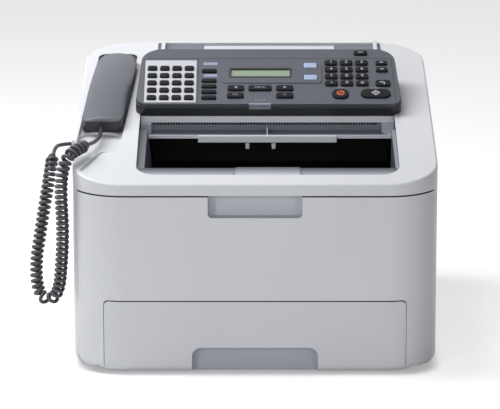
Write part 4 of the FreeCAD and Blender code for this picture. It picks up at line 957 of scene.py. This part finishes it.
# Small parts of the document exit and the output bay
def block(work, low, high, place=Matrix.Identity(4), edge=0.3):
    """A block between two corners in millimetres, with softened upright edges."""
    size = [b - a for a, b in zip(low, high)]
    middle = Matrix.Translation(Vector([(a + b) / 2 for a, b in zip(low, high)]) * MM)
    ring = [(x * MM, y * MM) for x, y in rounded_ring(size[0], size[1], edge, 2)]
    inner = [(x * MM, y * MM) for x, y in rounded_ring(size[0] - 2 * edge, size[1] - 2 * edge, edge / 2, 2)]
    top = size[2] / 2 * MM
    soft = (size[2] / 2 - edge) * MM
    stack(work, place @ middle, [(inner, -top), (ring, -soft), (ring, soft), (inner, top)])


TOOTH_COUNT = 84
TOOTH_START = -112.5
TOOTH_PITCH = 2.85
TOOTH_WIDTH = 1.4
TOOTH_Y = (-27.7, -26.4)
TOOTH_Z = (218.9, 221.2)


def slot_teeth(work):
    """The comb along the exit slot."""
    for k in range(TOOTH_COUNT):
        x = TOOTH_START + TOOTH_PITCH * k
        low = (x, TOOTH_Y[0], TOOTH_Z[0])
        high = (x + TOOTH_WIDTH, TOOTH_Y[1], TOOTH_Z[1])
        block(work, low, high, edge=0.2)


FINGER_LINE = [(-40.0, 207.0), (-42.0, 203.0), (-44.0, 199.6), (-45.2, 197.6)]
FINGER_HALVES = (2.3, 2.1, 1.8)
FINGER_X = (-7.6, 19.2)
FINGER_SIDE = 1.2
FINGER_LAP = 0.3


def bay_fingers(work):
    """Two fingers that hang from the lip and press the sheets down."""
    for x in FINGER_X:
        for (y0, z0), (y1, z1), half in zip(FINGER_LINE, FINGER_LINE[1:], FINGER_HALVES):
            low = (x - half, min(y0, y1) - FINGER_SIDE, min(z0, z1) - FINGER_LAP)
            high = (x + half, max(y0, y1) + FINGER_SIDE, max(z0, z1) + FINGER_LAP)
            block(work, low, high)


PIVOT_X = (-21.3, 46.8)
PIVOT_Y = -169.97
PIVOT_Z = 198.26


def stopper_dots(work):
    """Heads of the stopper's pivots."""
    for x in PIVOT_X:
        base = Matrix.Translation(Vector((x, PIVOT_Y, PIVOT_Z)) * MM) @ Matrix.Rotation(RIM_TILT, 4, "X")
        block(work, (-1.5, -1.3, 0.2), (1.5, 1.3, 1.25), base, 0.4)


# The handset's back, lower end first
HANDSET_AT = Vector((-150.8, 27.0, 239.609))
HANDSET_YAW = math.radians(-3.2)
HANDSET_PLACE = (
    Matrix.Translation(HANDSET_AT * MM)
    @ Matrix.Rotation(HANDSET_YAW, 4, "Z")
    @ Matrix.Rotation(RIM_TILT, 4, "X")
)
HANDSET_HALF = 96.5
HANDSET_RISE = 17.3
HANDSET_WIDE = 21.9
HANDSET_CROWN = 5.6
HANDSET_SEAM = 8.3
END_RADIUS = 9.0
END_FALLS = (5.0, 7.0)
END_TURNS = (3.0, 5.0)
END_TAPERS = (1.0, 1.5)
END_STEPS = 10
MIDDLE_STEPS = 36
ACROSS_STEPS = 12


def handset_top(v):
    """Height of the handset's back along its length, in its own frame."""
    edge = HANDSET_HALF - abs(v)
    end = 0 if v < 0 else 1
    turn = END_TURNS[end]
    height = HANDSET_RISE - END_FALLS[end] * (v / HANDSET_HALF) ** 2
    if edge < turn:
        height -= turn - math.sqrt(turn ** 2 - (turn - edge) ** 2)
    return height


def handset_half_width(v):
    edge = HANDSET_HALF - abs(v)
    half = HANDSET_WIDE - END_TAPERS[0 if v < 0 else 1] * abs(v) / HANDSET_HALF
    if edge < END_RADIUS:
        half -= END_RADIUS - math.sqrt(END_RADIUS ** 2 - (END_RADIUS - edge) ** 2)
    return half


def handset_back(work):
    """The crowned back of the handset, as rings along its length."""
    ends = [END_RADIUS * (1 - math.cos(math.pi / 2 * k / END_STEPS)) for k in range(END_STEPS + 1)]
    straight = HANDSET_HALF - END_RADIUS
    spots = [-HANDSET_HALF + e for e in ends]
    spots += [-straight + 2 * straight * k / MIDDLE_STEPS for k in range(1, MIDDLE_STEPS)]
    spots += [HANDSET_HALF - e for e in reversed(ends)]
    across = [math.sin(math.pi / 2 * k / ACROSS_STEPS) for k in range(-ACROSS_STEPS, ACROSS_STEPS + 1)]
    rings = []
    for v in spots:
        half = handset_half_width(v)
        top = handset_top(v)
        ring = []
        for t in across:
            crown = HANDSET_CROWN * (t * half / HANDSET_WIDE) ** 2
            arch = (top - crown - HANDSET_SEAM) * (1 - abs(t) ** 9) ** (1 / 3)
            spot = Vector((t * half, v, HANDSET_SEAM + max(arch, 0.0))) * MM
            ring.append(work.verts.new(HANDSET_PLACE @ spot))
        rings.append(ring)
    join_rings(work, rings)
    work.faces.new(rings[0])
    work.faces.new(list(reversed(rings[-1])))


work = bmesh.new()
handset_back(work)
back_mesh = finish_mesh("handset_back", work)
handset_cover = piece("handset_back", back_mesh, HANDSET, "handset")
back_mesh.set_sharp_from_angle(angle=math.radians(40))
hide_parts("handset_shell")


# Painted shade: a black plate on the handset's lower end where the cord's hole lies in shade
def cord_hole_shade(work):
    block(work, (-4.4, -95.6, -0.8), (4.4, -93.2, 4.6), HANDSET_PLACE, 0.7)


small_piece("cord_hole_shade", "handset", cord_hole_shade, SOCKET)
small_piece("exit_teeth", "chassis", slot_teeth, BAY)
small_piece("bay_fingers", "chassis", bay_fingers, LIP)
small_piece("stopper_pivots", "chassis", stopper_dots, PANEL_DARK)


# Floor, light and camera
def seen_rays(tree):
    """One for rays from the camera and for mirrored or refracted rays, and zero for diffuse light."""
    rays = tree.nodes.new("ShaderNodeLightPath")
    total = rays.outputs["Is Camera Ray"]
    for kind in ("Is Glossy Ray", "Is Transmission Ray"):
        most = tree.nodes.new("ShaderNodeMath")
        most.operation = "MAXIMUM"
        tree.links.new(total, most.inputs[0])
        tree.links.new(rays.outputs[kind], most.inputs[1])
        total = most.outputs[0]
    return total


FLOOR_HALF = 6.0
FLOOR_GLOW = 0.65
CONTACT_SHADOW_GLOW = 0.3
FOOT_CORNER = 0.036
FOOT_BLUR = 0.006
BODY_HALVES = (0.182, 0.195)
AMBIENT = 0.09


def painted_contact_shadow(tree):
    """Painted contact shadow: the floor's glow, lower inside the rounded outline that the body covers."""
    place = tree.nodes.new("ShaderNodeTexCoord").outputs["Object"]
    straight = [half - FOOT_CORNER for half in BODY_HALVES] + [0]
    steps = (("ABSOLUTE", None), ("SUBTRACT", straight), ("MAXIMUM", [0, 0, 0]), ("LENGTH", None))
    for step, value in steps:
        made = tree.nodes.new("ShaderNodeVectorMath")
        made.operation = step
        tree.links.new(place, made.inputs[0])
        if value:
            made.inputs[1].default_value = value
        place = made.outputs["Value" if step == "LENGTH" else "Vector"]
    glow = tree.nodes.new("ShaderNodeMapRange")
    glow.inputs["From Min"].default_value = FOOT_CORNER - FOOT_BLUR
    glow.inputs["From Max"].default_value = FOOT_CORNER + FOOT_BLUR
    glow.inputs["To Min"].default_value = CONTACT_SHADOW_GLOW
    glow.inputs["To Max"].default_value = FLOOR_GLOW
    tree.links.new(place, glow.inputs["Value"])
    return glow.outputs["Result"]


def floor_paper():
    """Pale matt paper that glows a little for the rays that are seen, with a painted contact shadow under
    the body.
    """
    material = bpy.data.materials.new("floor_paper")
    material.use_nodes = True
    tree = material.node_tree
    out = tree.nodes["Material Output"]
    tree.nodes.remove(tree.nodes["Principled BSDF"])
    matt = tree.nodes.new("ShaderNodeBsdfDiffuse")
    matt.inputs["Color"].default_value = (0.72, 0.72, 0.73, 1)
    glow = tree.nodes.new("ShaderNodeEmission")
    glow.inputs["Color"].default_value = (1, 1, 1, 1)
    both = tree.nodes.new("ShaderNodeAddShader")
    level = tree.nodes.new("ShaderNodeMath")
    level.operation = "MULTIPLY"
    tree.links.new(seen_rays(tree), level.inputs[0])
    tree.links.new(painted_contact_shadow(tree), level.inputs[1])
    tree.links.new(level.outputs[0], glow.inputs["Strength"])
    tree.links.new(matt.outputs[0], both.inputs[0])
    tree.links.new(glow.outputs[0], both.inputs[1])
    tree.links.new(both.outputs[0], out.inputs["Surface"])
    return material


def studio_world():
    """White where it is seen, and dim where it only lights."""
    world = bpy.data.worlds.new("studio")
    world.use_nodes = True
    tree = world.node_tree
    background = tree.nodes["Background"]
    background.inputs["Color"].default_value = (1, 1, 1, 1)
    level = tree.nodes.new("ShaderNodeMapRange")
    level.inputs["To Min"].default_value = AMBIENT
    level.inputs["To Max"].default_value = 1.0
    tree.links.new(seen_rays(tree), level.inputs["Value"])
    tree.links.new(level.outputs["Result"], background.inputs["Strength"])
    return world


corners = [(x * FLOOR_HALF, y * FLOOR_HALF, 0) for x, y in ((-1, -1), (1, -1), (1, 1), (-1, 1))]
floor_mesh = bpy.data.meshes.new("floor")
floor_mesh.from_pydata(corners, [], [(0, 1, 2, 3)])
floor = bpy.data.objects.new("floor", floor_mesh)
bpy.context.scene.collection.objects.link(floor)
floor_mesh.materials.append(floor_paper())
bpy.context.scene.world = studio_world()


def lamp(name, place, target, size, power):
    data = bpy.data.lights.new(name, "AREA")
    data.shape = "RECTANGLE"
    data.size, data.size_y = size
    data.energy = power
    made = bpy.data.objects.new(name, data)
    bpy.context.scene.collection.objects.link(made)
    made.location = place
    made.rotation_euler = (Vector(target) - Vector(place)).to_track_quat("-Z", "Y").to_euler()


lamp("top_light", (-0.62, 0.08, 1.2), (-0.08, 0, 0.2), (0.6, 1.3), 18)
lamp("front_light", (-0.3, -2.9, 1.0), (0, 0, 0.15), (1.4, 1.2), 15)
lamp("left_strip", (-1.5, -2.4, 0.8), (-0.1, -0.1, 0.15), (0.2, 1.6), 15)
lamp("right_strip", (1.4, -2.5, 0.8), (0.1, -0.1, 0.15), (0.18, 1.6), 8)

CAMERA_AT = Vector((-0.005, -3.195, 0.895))
CAMERA_AIM = Vector((-0.005, -0.195, 0.1745))
camera_data = bpy.data.cameras.new("camera")
camera_data.sensor_fit = "HORIZONTAL"
camera_data.sensor_width = 36
camera_data.lens = 226.15
camera = bpy.data.objects.new("camera", camera_data)
bpy.context.scene.collection.objects.link(camera)
camera.location = CAMERA_AT
aim = CAMERA_AIM - camera.location
camera.rotation_euler = aim.to_track_quat("-Z", "Y").to_euler()
bpy.context.scene.camera = camera
bpy.context.scene.view_settings.view_transform = "Standard"
